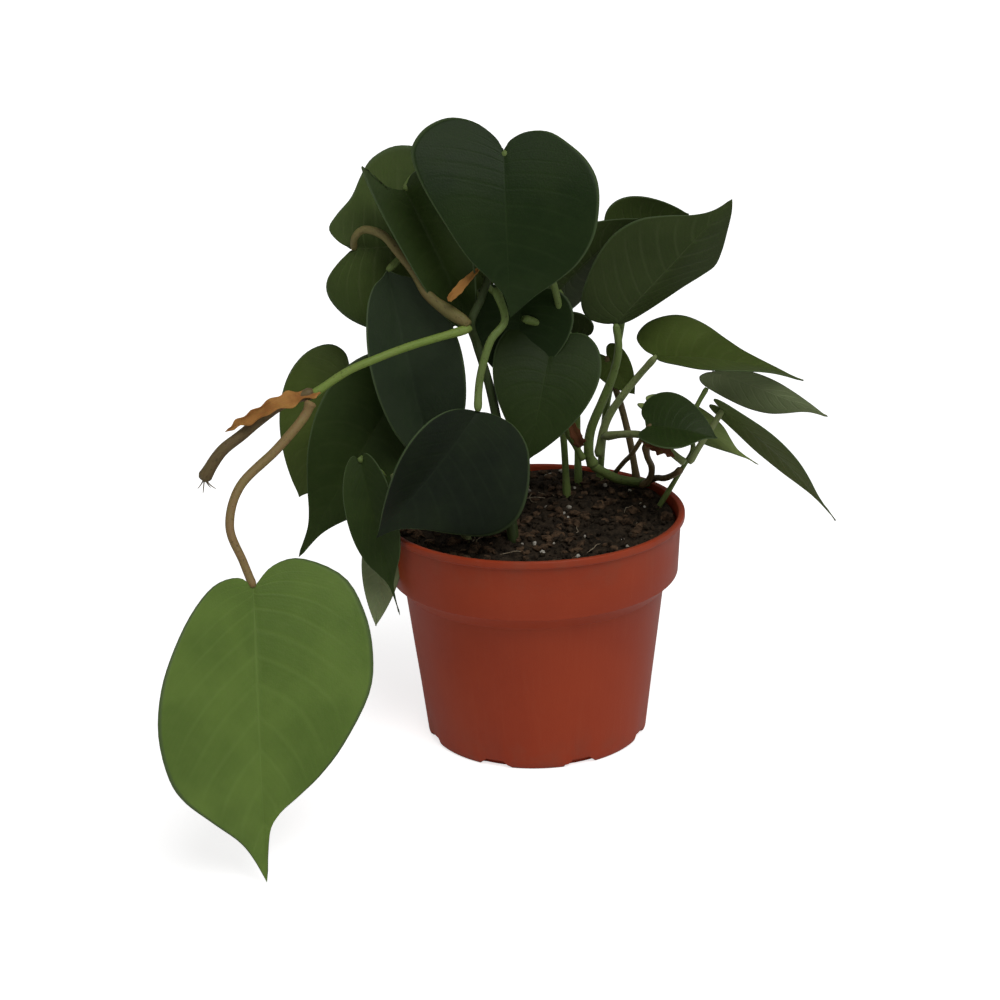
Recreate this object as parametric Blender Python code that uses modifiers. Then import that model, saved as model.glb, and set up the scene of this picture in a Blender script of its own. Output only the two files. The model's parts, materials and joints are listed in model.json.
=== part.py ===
"""A potted heart-leaf philodendron: nursery pot, soil, stems, leaf stalks, leaf blades and dry sheaths.

Blender's units are metres and +Z is up. The origin is the middle of the pot's flat base, on the
surface that it stands on. +X is the plant's right, -Y its front, and route points are in millimetres.
"""

import math

import bmesh
import bpy
from mathutils import Vector

# Driving dimensions, in millimetres.
POT_HEIGHT = 92.0
RIM_RADIUS = 60.0
LIP_HEIGHT = 3.0
LIP_OVERHANG = 1.6
BAND_FOOT = 67.0
SHOULDER_FOOT = 62.0
SHOULDER_RADIUS = 51.6
BASE_RADIUS = 44.3
WALL = 1.3
FLOOR = 1.6
NOTCHES = 8
NOTCH_WIDTH = 11.0
NOTCH_DEPTH = 3.4
NOTCH_HEIGHT = 3.0
SOIL_LEVEL = 86.0
GAP = 0.3
BLADE_THICKNESS = 0.6
SHEATH_THICKNESS = 0.5
STALK_RADIUS = 1.4
STEM_RADIUS = 1.8

POT_STEPS = 48
SOIL_STEPS = 28
HALF_COLUMNS = 2
BLADE_ROWS = 12
SHEATH_ROWS = 6
MM = 0.001

# Half of a heart-shaped blade from its notch round the lobe to the tip: across as a share of the
# half width, along as a share of the length.
HEART = (
    (0.00, 0.00), (0.10, -0.09), (0.32, -0.19), (0.63, -0.19), (0.89, -0.07), (1.00, 0.11),
    (0.96, 0.31), (0.79, 0.52), (0.52, 0.72), (0.24, 0.88), (0.06, 0.965), (0.00, 1.00),
)
# Half of an egg-shaped blade: small lobes, widest near the middle, a long drip tip.
EGG = (
    (0.00, 0.00), (0.14, -0.05), (0.40, -0.085), (0.66, -0.03), (0.86, 0.12), (0.98, 0.28),
    (0.99, 0.42), (0.86, 0.56), (0.58, 0.68), (0.28, 0.785), (0.10, 0.88), (0.00, 1.00),
)
# Half of a broad blade: narrow lobes close to the notch, widest a third of the way along.
BROAD = (
    (0.00, 0.00), (0.08, -0.08), (0.22, -0.13), (0.36, -0.07), (0.52, 0.03), (0.74, 0.11),
    (0.90, 0.19), (1.00, 0.34), (0.93, 0.52), (0.66, 0.74), (0.28, 0.90), (0.00, 1.00),
)
# The crown leaf's two halves: one lobe stands higher, the other half is fuller below the middle.
CROWN_HIGH = (
    (0.00, 0.00), (0.08, -0.09), (0.30, -0.19), (0.57, -0.22), (0.80, -0.17), (0.95, -0.08), (1.00, 0.02),
    (0.90, 0.19), (0.69, 0.40), (0.44, 0.62), (0.17, 0.78), (0.04, 0.88), (0.00, 1.00),
)
CROWN_FULL = (
    (0.00, 0.00), (0.07, -0.07), (0.26, -0.12), (0.50, -0.11), (0.72, -0.02), (0.90, 0.09), (1.00, 0.22),
    (1.00, 0.38), (0.93, 0.54), (0.76, 0.68), (0.53, 0.78), (0.28, 0.87), (0.00, 1.00),
)
# The trailing leaf's two halves: one round at the lobe, the other round towards the tip.
TRAIL_HIGH = (
    (0.00, 0.00), (0.17, -0.07), (0.42, -0.09), (0.78, -0.02), (0.95, 0.11), (1.00, 0.25), (0.95, 0.38),
    (0.72, 0.54), (0.51, 0.64), (0.31, 0.71), (0.13, 0.77), (0.04, 0.84), (0.00, 1.00),
)
TRAIL_LOW = (
    (0.00, 0.00), (0.15, -0.03), (0.39, 0.00), (0.62, 0.09), (0.83, 0.22), (0.96, 0.34), (1.00, 0.47),
    (0.92, 0.60), (0.78, 0.68), (0.52, 0.76), (0.26, 0.84), (0.12, 0.91), (0.00, 1.00),
)
# Half of a shell-like blade that narrows early into a long tip.
SHELL = (
    (0.00, 0.00), (0.10, -0.08), (0.40, -0.13), (0.76, -0.08), (0.96, 0.05), (1.00, 0.19),
    (0.88, 0.35), (0.62, 0.49), (0.36, 0.60), (0.21, 0.72), (0.12, 0.86), (0.00, 1.00),
)
# The front leaf's upper half: no lobe, and narrow from notch to tip.
FRONT_UPPER = (
    (0.00, 0.00), (0.10, 0.00), (0.25, 0.04), (0.38, 0.12), (0.48, 0.25), (0.52, 0.39),
    (0.48, 0.54), (0.36, 0.69), (0.20, 0.83), (0.07, 0.93), (0.00, 1.00),
)
# Half of a dry sheath: a narrow strip with a point at both ends.
STRIP = ((0.00, 0.00), (0.70, 0.06), (1.00, 0.30), (0.80, 0.62), (0.35, 0.88), (0.00, 1.00))


def clear_scene():
    for old in list(bpy.data.objects):
        bpy.data.objects.remove(old, do_unlink=True)


def new_collection(name):
    collection = bpy.data.collections.new(name)
    bpy.context.scene.collection.children.link(collection)
    return collection


def principled(name, colour, roughness, metallic=0.0):
    made = bpy.data.materials.new(name)
    made.use_nodes = True
    shader = made.node_tree.nodes["Principled BSDF"]
    shader.inputs["Base Color"].default_value = (*colour, 1.0)
    shader.inputs["Roughness"].default_value = roughness
    shader.inputs["Metallic"].default_value = metallic
    return made


def add_object(name, data, material):
    made = bpy.data.objects.new(name, data)
    data.materials.append(material)
    PLANT.objects.link(made)
    return made


def smooth(mesh):
    mesh.shade_smooth()
    mesh.set_sharp_from_angle(angle=math.radians(40))


def through(points, share):
    """The place at a share of the way along a smooth curve through the points."""
    spans = len(points) - 1
    place = min(max(share, 0.0), 1.0) * spans
    first = min(int(place), spans - 1)
    t = place - first
    p1 = Vector(points[first])
    p2 = Vector(points[first + 1])
    p0 = Vector(points[first - 1]) if first > 0 else 2 * p1 - p2
    p3 = Vector(points[first + 2]) if first + 2 <= spans else 2 * p2 - p1
    turn = (2 * p0 - 5 * p1 + 4 * p2 - p3) * t**2 + (3 * p1 - p0 - 3 * p2 + p3) * t**3
    return p1 + 0.5 * ((p2 - p0) * t + turn)


# The pot


def pot_profile():
    """Half of the pot's section, from the floor's middle up the inside and down the outside."""
    band = RIM_RADIUS - LIP_OVERHANG
    lip_foot = POT_HEIGHT - LIP_HEIGHT
    return (
        (0, FLOOR),
        (BASE_RADIUS - WALL - 2, FLOOR),
        (BASE_RADIUS - WALL, FLOOR + 2),
        (SHOULDER_RADIUS - WALL, SHOULDER_FOOT),
        (band - WALL - 1.4, BAND_FOOT),
        (band - WALL, lip_foot),
        (RIM_RADIUS - WALL - 1.2, POT_HEIGHT - 0.4),
        (RIM_RADIUS - WALL, POT_HEIGHT),
        (RIM_RADIUS - 0.4, POT_HEIGHT),
        (RIM_RADIUS, POT_HEIGHT - 0.5),
        (RIM_RADIUS, lip_foot + 0.5),
        (RIM_RADIUS - 0.5, lip_foot),
        (band, lip_foot - 0.4),
        (band - 1.2, BAND_FOOT + 0.6),
        (band - 1.9, BAND_FOOT),
        (SHOULDER_RADIUS + 0.9, SHOULDER_FOOT + 0.8),
        (SHOULDER_RADIUS, SHOULDER_FOOT),
        (BASE_RADIUS, 1.2),
        (BASE_RADIUS - 1.2, 0),
        (0, 0),
    )


def screw(name, profile, steps, material):
    """A turned solid from a profile that lies on +X."""
    mesh = bpy.data.meshes.new(name)
    shape = bmesh.new()
    row = [shape.verts.new((radius * MM, 0, height * MM)) for radius, height in profile]
    for first, second in zip(row, row[1:]):
        shape.edges.new((first, second))
    shape.to_mesh(mesh)
    shape.free()
    turned = add_object(name, mesh, material)
    turning = turned.modifiers.new("turn", "SCREW")
    turning.steps = steps
    turning.render_steps = steps
    turning.use_merge_vertices = True
    turning.merge_threshold = 0.00001
    turning.use_smooth_shade = True
    return turned


def notch_cutter(number):
    """A small block across the corner of the base, where water drains out."""
    angle = (number + 0.5) * math.tau / NOTCHES
    shape = bmesh.new()
    bmesh.ops.create_cube(shape, size=1.0)
    size = Vector((2 * NOTCH_DEPTH, NOTCH_WIDTH, 2 * NOTCH_HEIGHT)) * MM
    bmesh.ops.scale(shape, vec=size, verts=shape.verts)
    mesh = bpy.data.meshes.new(f"notch_cutter_{number}")
    shape.to_mesh(mesh)
    shape.free()
    cutter = bpy.data.objects.new(mesh.name, mesh)
    CUTTERS.objects.link(cutter)
    cutter.location = Vector((math.cos(angle), math.sin(angle), 0)) * (BASE_RADIUS * MM)
    cutter.rotation_euler.z = angle
    cutter.hide_render = True
    cutter.display_type = "WIRE"
    return cutter


def build_pot():
    pot = screw("pot", pot_profile(), POT_STEPS, TERRACOTTA)
    for number in range(NOTCHES):
        cut = pot.modifiers.new(f"notch_{number}", "BOOLEAN")
        cut.operation = "DIFFERENCE"
        cut.object = notch_cutter(number)


# The soil


def soil_height(x, y):
    """Height of the soil's surface: low in front, heaped towards the back and right."""
    reach = min(math.hypot(x, y) / RIM_RADIUS, 1.0)
    slope = 0.03 * x + 0.085 * y
    lumps = 0.8 * math.sin(0.21 * x + 1.0) * math.cos(0.17 * y) + 0.5 * math.sin(0.33 * y + 0.1 * x)
    return SOIL_LEVEL + slope + lumps * (1 - 0.5 * reach)


def build_soil():
    wall = RIM_RADIUS - LIP_OVERHANG - WALL - GAP
    section = [
        (0, FLOOR + GAP),
        (BASE_RADIUS - WALL - 2.4, FLOOR + GAP),
        (BASE_RADIUS - WALL - NOTCH_DEPTH, FLOOR + GAP + NOTCH_HEIGHT),
        (SHOULDER_RADIUS - WALL - 0.6, SHOULDER_FOOT),
        (wall - 2.0, BAND_FOOT),
        (wall - 0.9, SOIL_LEVEL),
    ]
    section += [(share * wall, SOIL_LEVEL) for share in (0.86, 0.7, 0.54, 0.38, 0.2, 0.0)]
    shape = bmesh.new()
    row = [shape.verts.new((radius * MM, 0, height * MM)) for radius, height in section]
    edges = [shape.edges.new(pair) for pair in zip(row, row[1:])]
    bmesh.ops.spin(
        shape, geom=row + edges, axis=(0, 0, 1), cent=(0, 0, 0), angle=math.tau, steps=SOIL_STEPS
    )
    bmesh.ops.remove_doubles(shape, verts=shape.verts, dist=0.00001)
    bmesh.ops.recalc_face_normals(shape, faces=shape.faces)
    for vert in shape.verts:
        if vert.co.z > (SOIL_LEVEL - 1) * MM:
            vert.co.z = soil_height(vert.co.x / MM, vert.co.y / MM) * MM
    mesh = bpy.data.meshes.new("soil")
    shape.to_mesh(mesh)
    shape.free()
    smooth(mesh)
    add_object("soil", mesh, SOIL)


# Stems and stalks


def foot(x, y):
    """A route's lowest point, just clear of the soil."""
    return (x, y, soil_height(x, y) + 1.0)


def tube(name, route, material, radius=STALK_RADIUS, ends=(1.0, 1.0), sides=3):
    """A round stem along a smooth curve through the route, its ends scaled by two factors."""
    length = sum((Vector(b) - Vector(a)).length for a, b in zip(route, route[1:]))
    count = max(5, round(length / 8) + 1)
    curve = bpy.data.curves.new(name, "CURVE")
    curve.dimensions = "3D"
    curve.bevel_depth = radius * MM
    curve.bevel_resolution = sides - 2
    curve.use_fill_caps = True
    spline = curve.splines.new("POLY")
    spline.points.add(count - 1)
    for index, point in enumerate(spline.points):
        share = index / (count - 1)
        point.co = (*(through(route, share) * MM), 1.0)
        point.radius = ends[0] * (1 - share) + ends[1] * share
    spline.use_smooth = True
    return add_object(name, curve, material)


# Leaf blades and sheaths


def direction(azimuth, elevation):
    """A unit direction: azimuth 0 looks to the front, 90 to the right; elevation 90 looks up."""
    turn = math.radians(azimuth)
    lift = math.radians(elevation)
    level = math.cos(lift)
    return Vector((level * math.sin(turn), -level * math.cos(turn), math.sin(lift)))


def bent(distance, angle, curl, span):
    """Where a point across the blade lies once its half is raised by angle and rolled by curl."""
    if abs(curl) < 0.001:
        return distance * math.cos(angle), distance * math.sin(angle)
    end = angle + curl * distance / span
    reach = span / curl
    return reach * (math.sin(end) - math.sin(angle)), reach * (math.cos(angle) - math.cos(end))


def blade(name, base, tip, width, faces, material, outline=HEART, other=None, droop=30, fold=(12, 12),
          cup=0, twist=0, skew=0.0, rows=BLADE_ROWS, thickness=BLADE_THICKNESS):
    """A leaf blade from its notch (base) to its tip, its upper side facing (azimuth, elevation).

    droop bends the midrib along its length, fold raises the two halves, cup rolls them further
    up and twist turns the blade along its length, all in degrees. skew sets one lobe behind the
    other, as a share of the way across. other is the second half's outline where it differs.
    """
    start = Vector(base)
    run = Vector(tip) - start
    along = run.normalized()
    normal = direction(*faces)
    normal = (normal - along * normal.dot(along)).normalized()
    side = along.cross(normal)
    bend = math.radians(droop if abs(droop) > 0.5 else 0.5)
    radius = run.length / (2 * math.sin(bend / 2))
    length = radius * bend
    half = width / 2

    def place(across, forward):
        """The blade's point at a flat place (across, forward), both in millimetres."""
        share = forward / length
        lean = bend / 2 - bend * share
        forth = math.sin(bend / 2) - math.sin(lean)
        rise = math.cos(lean) - math.cos(bend / 2)
        middle = start + radius * (along * forth + normal * rise)
        up = normal * math.cos(lean) - along * math.sin(lean)
        roll = math.radians(twist) * share
        outward = side * math.cos(roll) + up * math.sin(roll)
        up = up * math.cos(roll) - side * math.sin(roll)
        raise_angle = math.radians(fold[0] if across < 0 else fold[1])
        reach, lift = bent(abs(across), raise_angle, math.radians(cup), half)
        return middle + outward * math.copysign(reach, across) + up * lift

    shape = bmesh.new()
    bmesh.ops.create_grid(shape, x_segments=2 * HALF_COLUMNS, y_segments=rows, size=1.0)
    for vert in shape.verts:
        row = (vert.co.y + 1) / 2
        half_outline = other if other and vert.co.x > 0 else outline
        edge = through([(x, y, 0) for x, y in half_outline], row)
        inward = abs(vert.co.x)
        across = math.copysign(edge.x * half * inward, vert.co.x)
        forward = length * ((1 - inward) * row**1.4 + inward * edge.y)
        forward -= skew * across * (1 - row)
        vert.co = place(across, forward) * MM
    bmesh.ops.remove_doubles(shape, verts=shape.verts, dist=0.00001)
    mesh = bpy.data.meshes.new(name)
    shape.to_mesh(mesh)
    shape.free()
    smooth(mesh)
    made = add_object(name, mesh, material)
    thicken = made.modifiers.new("thickness", "SOLIDIFY")
    thicken.thickness = thickness * MM
    thicken.offset = -1
    return made


clear_scene()
PLANT = new_collection("potted_philodendron")
CUTTERS = new_collection("cutters")
TERRACOTTA = principled("terracotta_plastic", (0.52, 0.16, 0.09), 0.45)
SOIL = principled("potting_soil", (0.030, 0.018, 0.012), 0.95)
DARK_LEAF = principled("dark_leaf", (0.035, 0.075, 0.030), 0.38)
GREY_LEAF = principled("grey_green_leaf", (0.075, 0.115, 0.070), 0.40)
YOUNG_LEAF = principled("young_leaf", (0.21, 0.34, 0.08), 0.40)
PALE_LEAF = principled("pale_underside", (0.20, 0.27, 0.12), 0.55)
STEM = principled("green_stem", (0.25, 0.33, 0.09), 0.45)
OLD_STEM = principled("old_stem", (0.22, 0.17, 0.09), 0.60)
SHEATH = principled("dry_sheath", (0.50, 0.25, 0.09), 0.75)

build_pot()
build_soil()

# Crown
blade("leaf_crown_front", (-8, -6, 235), (-7, -20, 175), 69, (0, 14), DARK_LEAF, CROWN_FULL, CROWN_HIGH,
      droop=34, fold=(4, 6))
blade("leaf_crown_folded", (-46, 8, 220), (-26, 0, 173), 44, (14, 25), DARK_LEAF, droop=30,
      fold=(30, 46))
blade("leaf_high_left", (-66, 12, 195), (-4, 26, 196), 78, (180, -12), PALE_LEAF, BROAD, droop=6,
      fold=(8, 8), skew=0.12)
blade("leaf_crown_behind", (12, 24, 175), (44, 28, 202), 36, (-160, 26), DARK_LEAF, droop=20,
      fold=(16, 16))
# Left side
blade("leaf_grey_left", (-54, 7, 190), (-36, 0, 103), 44, (-8, 10), GREY_LEAF, EGG, droop=20,
      fold=(8, 66))
blade("leaf_left_outer", (-72, 21, 140), (-94, 15, 94), 46, (-15, 20), YOUNG_LEAF, droop=30,
      fold=(8, 8))
blade("leaf_left_inner", (-54, 9, 136), (-93, -5, 77), 43, (0, 15), DARK_LEAF, droop=26, fold=(8, 8))
blade("leaf_low_left", (-68, -26, 113.6), (-54, -34, 62), 22, (-10, 0), DARK_LEAF, EGG, droop=24,
      fold=(20, 60))
blade("leaf_low_pale", (-64, -22, 84), (-67, -25, 56), 15, (180, 0), PALE_LEAF, droop=14, fold=(10, 10))
blade("leaf_trailing", (-99, -98, 99), (-96, -134, 1.5), 82, (4, 20), YOUNG_LEAF, TRAIL_HIGH, TRAIL_LOW,
      droop=20, fold=(2, 38))
# Front and middle
blade("leaf_front", (-20, -24, 140), (-59, -44, 97), 76, (20, 10), GREY_LEAF, EGG, FRONT_UPPER,
      droop=30, fold=(0, 30))
blade("leaf_middle", (8, 4, 156), (-1, -10, 116), 42, (0, 20), GREY_LEAF, droop=30, fold=(6, 6))
blade("leaf_middle_small", (-9, -7, 171), (-3, -15, 145), 22, (-15, 15), GREY_LEAF, droop=24,
      fold=(10, 10))
# Right side and back
blade("leaf_tall_right", (34, 16, 163), (79, 16, 211), 54, (180, -8), GREY_LEAF, EGG, droop=-16,
      fold=(70, 4), cup=10)
blade("leaf_back_right", (40, 41, 190), (64, 39, 201), 36, (-170, 20), DARK_LEAF, droop=30,
      fold=(10, 10))
blade("leaf_right_upper", (51, 20, 148), (104, 0, 144), 36, (10, 64), YOUNG_LEAF, SHELL,
      droop=30, fold=(35, 45), twist=50)
blade("leaf_right_under", (70.5, 6, 143.5), (114, -4, 129), 26, (160, 45), PALE_LEAF, EGG, droop=26,
      fold=(10, 10))
blade("leaf_right_low", (74, -4, 135), (117, -20, 92), 40, (111, 38), PALE_LEAF, EGG, droop=20,
      fold=(-18, 12))
blade("leaf_small_dark", (44, -8.4, 126), (70, -16, 124), 35, (4, 45), DARK_LEAF, droop=26,
      fold=(0, 50))
blade("leaf_young", (48, 15.4, 130), (84, 9, 107), 24, (10, 60), YOUNG_LEAF, droop=30, fold=(6, 60))
blade("leaf_back_dark", (20, 45, 150), (-6, 41, 150), 28, (180, 40), DARK_LEAF, droop=30, fold=(10, 10))
blade("leaf_back_grey", (31, 32, 145), (42, 29, 130), 15, (-20, 20), PALE_LEAF, droop=24, fold=(10, 10))

# Stems that carry other stems or stalks
tube("stem_crown", [foot(-8, -14), (-10, -8, 110), (-15, -2, 140), (-20, -3, 160), (-22, -11, 171),
                    (-18, -10, 180), (-14, -7, 190)], STEM, STEM_RADIUS, (1.1, 0.8))
tube("stem_runner", [(-25, -16, 169.5), (-43, -26, 167), (-57, -34, 164), (-68, -37, 160),
     (-76.5, -39.5, 155)], STEM, 1.5)
tube("stem_cut_end", [(-81.5, -40.5, 153), (-93, -42, 149), (-107, -45, 139), (-115, -47, 133),
     (-122, -48, 123)], OLD_STEM, 2.1, (0.9, 1.1))
tube("stem_right_root", [(43, 30, 92.6), (37, 28.5, 94), (31, 27, 97), (26.5, 25, 100.5)], STEM, 2.2)
tube("stem_right_side", [(30, 25, 114), (37, 16, 117.5), (44, 9, 119), (49, 6, 116.5), (53, 4, 115),
     (57, 2, 112), (60, 0.5, 110)], STEM, 1.5)
tube("stem_right_grey", [(58, 1.5, 106.5), (56, 7, 103), (53, 15, 99), (50, 23, 96.5), (46, 28, 93)],
     OLD_STEM, 1.3)
tube("stem_right_olive", [(45, 6, 115), (46, 12, 109), (48, 17, 103), (47.4, 20, 97.5),
     (44, 22, 93.4)], OLD_STEM, 1.3)
tube("stem_left", [foot(-26, -12), (-34, -14, 104), (-44, -17, 113), (-54, -20, 113)], STEM, 1.5)

# Leaf stalks
tube("stalk_crown_front", [foot(14, 26), (13, 27, 113), (11, 26, 132), (11, 16, 156), (12, 9, 170),
     (8, 5, 188), (1, 1, 208), (-6, -1, 228), (-8, -3.5, 235)], STEM)
tube("stalk_crown_folded", [(-16, 0, 187), (-22, 8, 203), (-33, 13, 219), (-42, 13, 223),
     (-45.5, 10.8, 220)], STEM)
tube("stalk_high_left", [(-26, -13, 173.5), (-37, -6, 180), (-43, -2, 189), (-49, 2, 196),
     (-55, 6, 202), (-62, 8, 204), (-66, 8.5, 201), (-67, 9, 196)], OLD_STEM, 1.5, (1.2, 0.9))
tube("stalk_crown_behind", [(20, 21, 107), (17.5, 20.5, 112), (14, 19, 120), (14, 19, 138),
     (15.5, 20, 152), (14.5, 21.4, 164), (13, 22.6, 173.4)], STEM)
tube("stalk_grey_left", [(-19, -1, 178), (-32, 9, 193), (-45, 13, 194), (-52.5, 9.8, 190)], STEM)
tube("stalk_left_outer", [foot(-26, 14), (-36, 24, 110), (-50, 28, 134), (-64, 25, 141),
     (-69.6, 23, 139.6)], STEM)
tube("stalk_left_inner", [foot(-22, 0), (-32, 7, 108), (-43, 11, 126), (-49, 11.6, 132),
     (-53, 11.4, 134)], STEM)
tube("stalk_low_left", [(-57.4, -21.4, 115), (-62, -23, 117), (-66.5, -23.6, 116),
     (-67.4, -22.6, 113.4)], STEM)
tube("stalk_low_pale", [(-58, -19, 112), (-63, -20.5, 104), (-65.6, -23, 95), (-64.2, -24, 85.4)],
     OLD_STEM, 0.9)
tube("stalk_trailing", [(-81.5, -44, 149.5), (-84, -46, 145), (-93, -58, 137), (-105, -72, 128),
     (-108, -84, 117), (-103, -91, 106), (-100, -95, 100.5)], OLD_STEM, 1.6, (1.2, 0.9))
tube("stalk_front", [(-12, -11, 183), (-9, -14, 173), (-14.5, -18, 166), (-18, -20, 156),
     (-19.5, -20.4, 148), (-20, -22.4, 142.6)], STEM, 1.5)
tube("stalk_middle", [(-1, 5, 168), (4, 9, 165.4), (7.6, 10, 161.8)], STEM)
tube("stalk_middle_small", [(-16, -4, 184), (-12, -1.5, 179), (-9, -4.2, 172.4)], STEM, 1.1)
tube("stalk_tall_right", [(24.4, 24, 103.5), (23, 23, 108), (24, 22, 118), (29, 20, 131), (33, 18, 142),
                          (35, 16, 153), (34.8, 14.6, 161.5)], STEM, 1.8, (1.2, 0.8))
tube("stalk_back_right", [foot(28, 42), (31, 44, 120), (38, 43, 160), (40, 39, 188)], STEM)
tube("stalk_right_upper", [(27.5, 28.5, 106), (29, 28, 115), (32, 27, 123), (37, 25, 131),
     (43, 23.5, 139), (49.2, 20.4, 146)], STEM, 1.5, (1.2, 0.9))
tube("stalk_right_under", [foot(51, 10), (60, 8, 106), (63.4, 3.4, 115), (62, 0.4, 123),
     (64, -0.4, 132), (68.6, 1.6, 140)], STEM, 1.1)
tube("stalk_right_low", [(62.5, -0.5, 111.5), (66, -1.5, 118), (70, -3, 125), (73.8, -4.6, 131.8)],
     STEM, 1.2)
tube("stalk_small_dark", [foot(32, 38), (37, 24, 103), (40, 8.6, 112), (43.8, -5.4, 123.4)], OLD_STEM,
     1.0)
tube("stalk_young", [(47, 10, 120), (46, 17.4, 125), (47.4, 17.2, 128.4)], STEM, 1.0)
tube("stalk_back_dark", [foot(19, 38), (19, 44, 120), (20, 46, 138), (20.6, 43.6, 148.4)], STEM)
tube("stalk_back_grey", [foot(43, 34), (41, 36, 104), (39, 36, 114), (36, 36, 126), (32, 36, 138),
     (31, 34.6, 144)], OLD_STEM)

# Dry sheaths that once wrapped a young leaf
blade("sheath_left_node", (-80, -36, 157), (-113, -45, 144), 9, (20, 60), SHEATH, outline=STRIP,
      droop=30, fold=(35, 35), twist=90, rows=SHEATH_ROWS, thickness=SHEATH_THICKNESS)
blade("sheath_crown", (-26, -15, 180), (-17, -9, 192), 7, (0, 20), SHEATH, outline=STRIP, droop=40,
      fold=(40, 40), rows=SHEATH_ROWS, thickness=SHEATH_THICKNESS)
blade("sheath_middle", (20, 16, 112), (14, 14, 127), 6, (0, 20), SHEATH, outline=STRIP, droop=40,
      fold=(40, 40), rows=SHEATH_ROWS, thickness=SHEATH_THICKNESS)
blade("sheath_right_node", (43.8, 1, 118.4), (56, -4.4, 110), 9, (0, 30), SHEATH, outline=STRIP,
      droop=40, fold=(30, 30), rows=SHEATH_ROWS, thickness=SHEATH_THICKNESS)
blade("sheath_left_low", (-62, -25.4, 104), (-52, -25, 110.6), 7, (0, 30), SHEATH, outline=STRIP,
      droop=40, fold=(30, 30), rows=SHEATH_ROWS, thickness=SHEATH_THICKNESS)
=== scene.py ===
# %% [markdown]
# # A potted heart-leaf philodendron
# This lesson dresses a plain working model of a houseplant: a nursery pot, its soil, eight stems,
# twenty-two leaves on their stalks and a few dry sheaths. The working model is loaded first, as a
# fixed frame. Every piece made here stands where its plain counterpart stands, give or take a few
# millimetres, so the frame's box is kept.

# %% Load the frame
import json
import math
import random

import bmesh
import bpy
from mathutils import Matrix, Vector, noise

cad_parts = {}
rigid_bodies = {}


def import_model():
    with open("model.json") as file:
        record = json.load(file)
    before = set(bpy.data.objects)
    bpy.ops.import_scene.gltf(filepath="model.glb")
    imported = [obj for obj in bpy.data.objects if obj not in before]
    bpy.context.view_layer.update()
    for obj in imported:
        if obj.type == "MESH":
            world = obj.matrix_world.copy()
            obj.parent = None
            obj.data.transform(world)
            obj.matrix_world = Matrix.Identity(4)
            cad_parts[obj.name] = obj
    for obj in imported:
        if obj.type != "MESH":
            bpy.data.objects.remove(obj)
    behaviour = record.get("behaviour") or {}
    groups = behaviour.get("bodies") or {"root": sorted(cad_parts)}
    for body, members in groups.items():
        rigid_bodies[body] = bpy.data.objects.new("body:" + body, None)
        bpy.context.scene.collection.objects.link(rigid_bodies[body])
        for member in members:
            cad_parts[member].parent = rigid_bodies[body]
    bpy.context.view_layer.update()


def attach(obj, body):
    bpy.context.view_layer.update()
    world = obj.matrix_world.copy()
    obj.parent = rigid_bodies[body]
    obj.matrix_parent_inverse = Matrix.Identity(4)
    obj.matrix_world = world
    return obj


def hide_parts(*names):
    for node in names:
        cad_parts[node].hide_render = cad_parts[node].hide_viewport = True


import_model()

MM = 0.001


# %% [markdown]
# ## Helpers for shapes
# Each shape is built as a bmesh, so two short helpers are shared by all that follows: one puts an
# object into the scene, and the other turns a finished bmesh into a mesh with its materials.

# %% Shape helpers
MERGE = 0.00001


def put_in_scene(name, data):
    """A new object in the scene."""
    made = bpy.data.objects.new(name, data)
    bpy.context.scene.collection.objects.link(made)
    return made


def mesh_of(shape, name, *materials):
    """A mesh made from a bmesh, which is then freed."""
    mesh = bpy.data.meshes.new(name)
    shape.to_mesh(mesh)
    shape.free()
    for material in materials:
        mesh.materials.append(material)
    return mesh


print("shape helpers ready")

# %% [markdown]
# ## The camera
# The plant is seen a little from above through a long lens, so the pot hardly tapers. The camera
# is turned in three steps, as on a tripod: yaw about the upright, pitch about its own side, and a
# small roll. It comes first, because everything else is judged through it.

# %% Camera
CAMERA_PLACE = Vector((0, -0.8186, 0.3739))
CAMERA_YAW = math.radians(0.90)
CAMERA_PITCH = math.radians(71.27)
CAMERA_ROLL = math.radians(-1.48)
LENS_MM = 78.84

camera_data = bpy.data.cameras.new("camera")
camera_data.lens = LENS_MM
camera = put_in_scene("camera", camera_data)
turn = Matrix.Rotation(CAMERA_YAW, 4, "Z") @ Matrix.Rotation(CAMERA_PITCH, 4, "X")
turn = turn @ Matrix.Rotation(CAMERA_ROLL, 4, "Z")
camera.matrix_world = Matrix.Translation(CAMERA_PLACE) @ turn
bpy.context.scene.camera = camera
print("camera looks down by", round(90 - math.degrees(CAMERA_PITCH), 1), "degrees")

# %% [markdown]
# ## The stage and the light
# The stage is a plain pale floor, wide enough to fill the view. The light is that of a white
# studio: one very soft lamp high in front, a weak one from each side, and a pale surrounding. A
# dark plant is lit gently, so the floor is given a little brightness of its own that only the
# camera sees, and which doesn't wash over the leaves. The plain view transform keeps the colours
# as they are mixed below.

# %% Stage and light
FLOOR_SIZE = 16.0
FLOOR_LIFT = 0.72
FLOOR_COLOUR = (0.93, 0.93, 0.93, 1)
WORLD_LIGHT = 0.14

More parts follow.
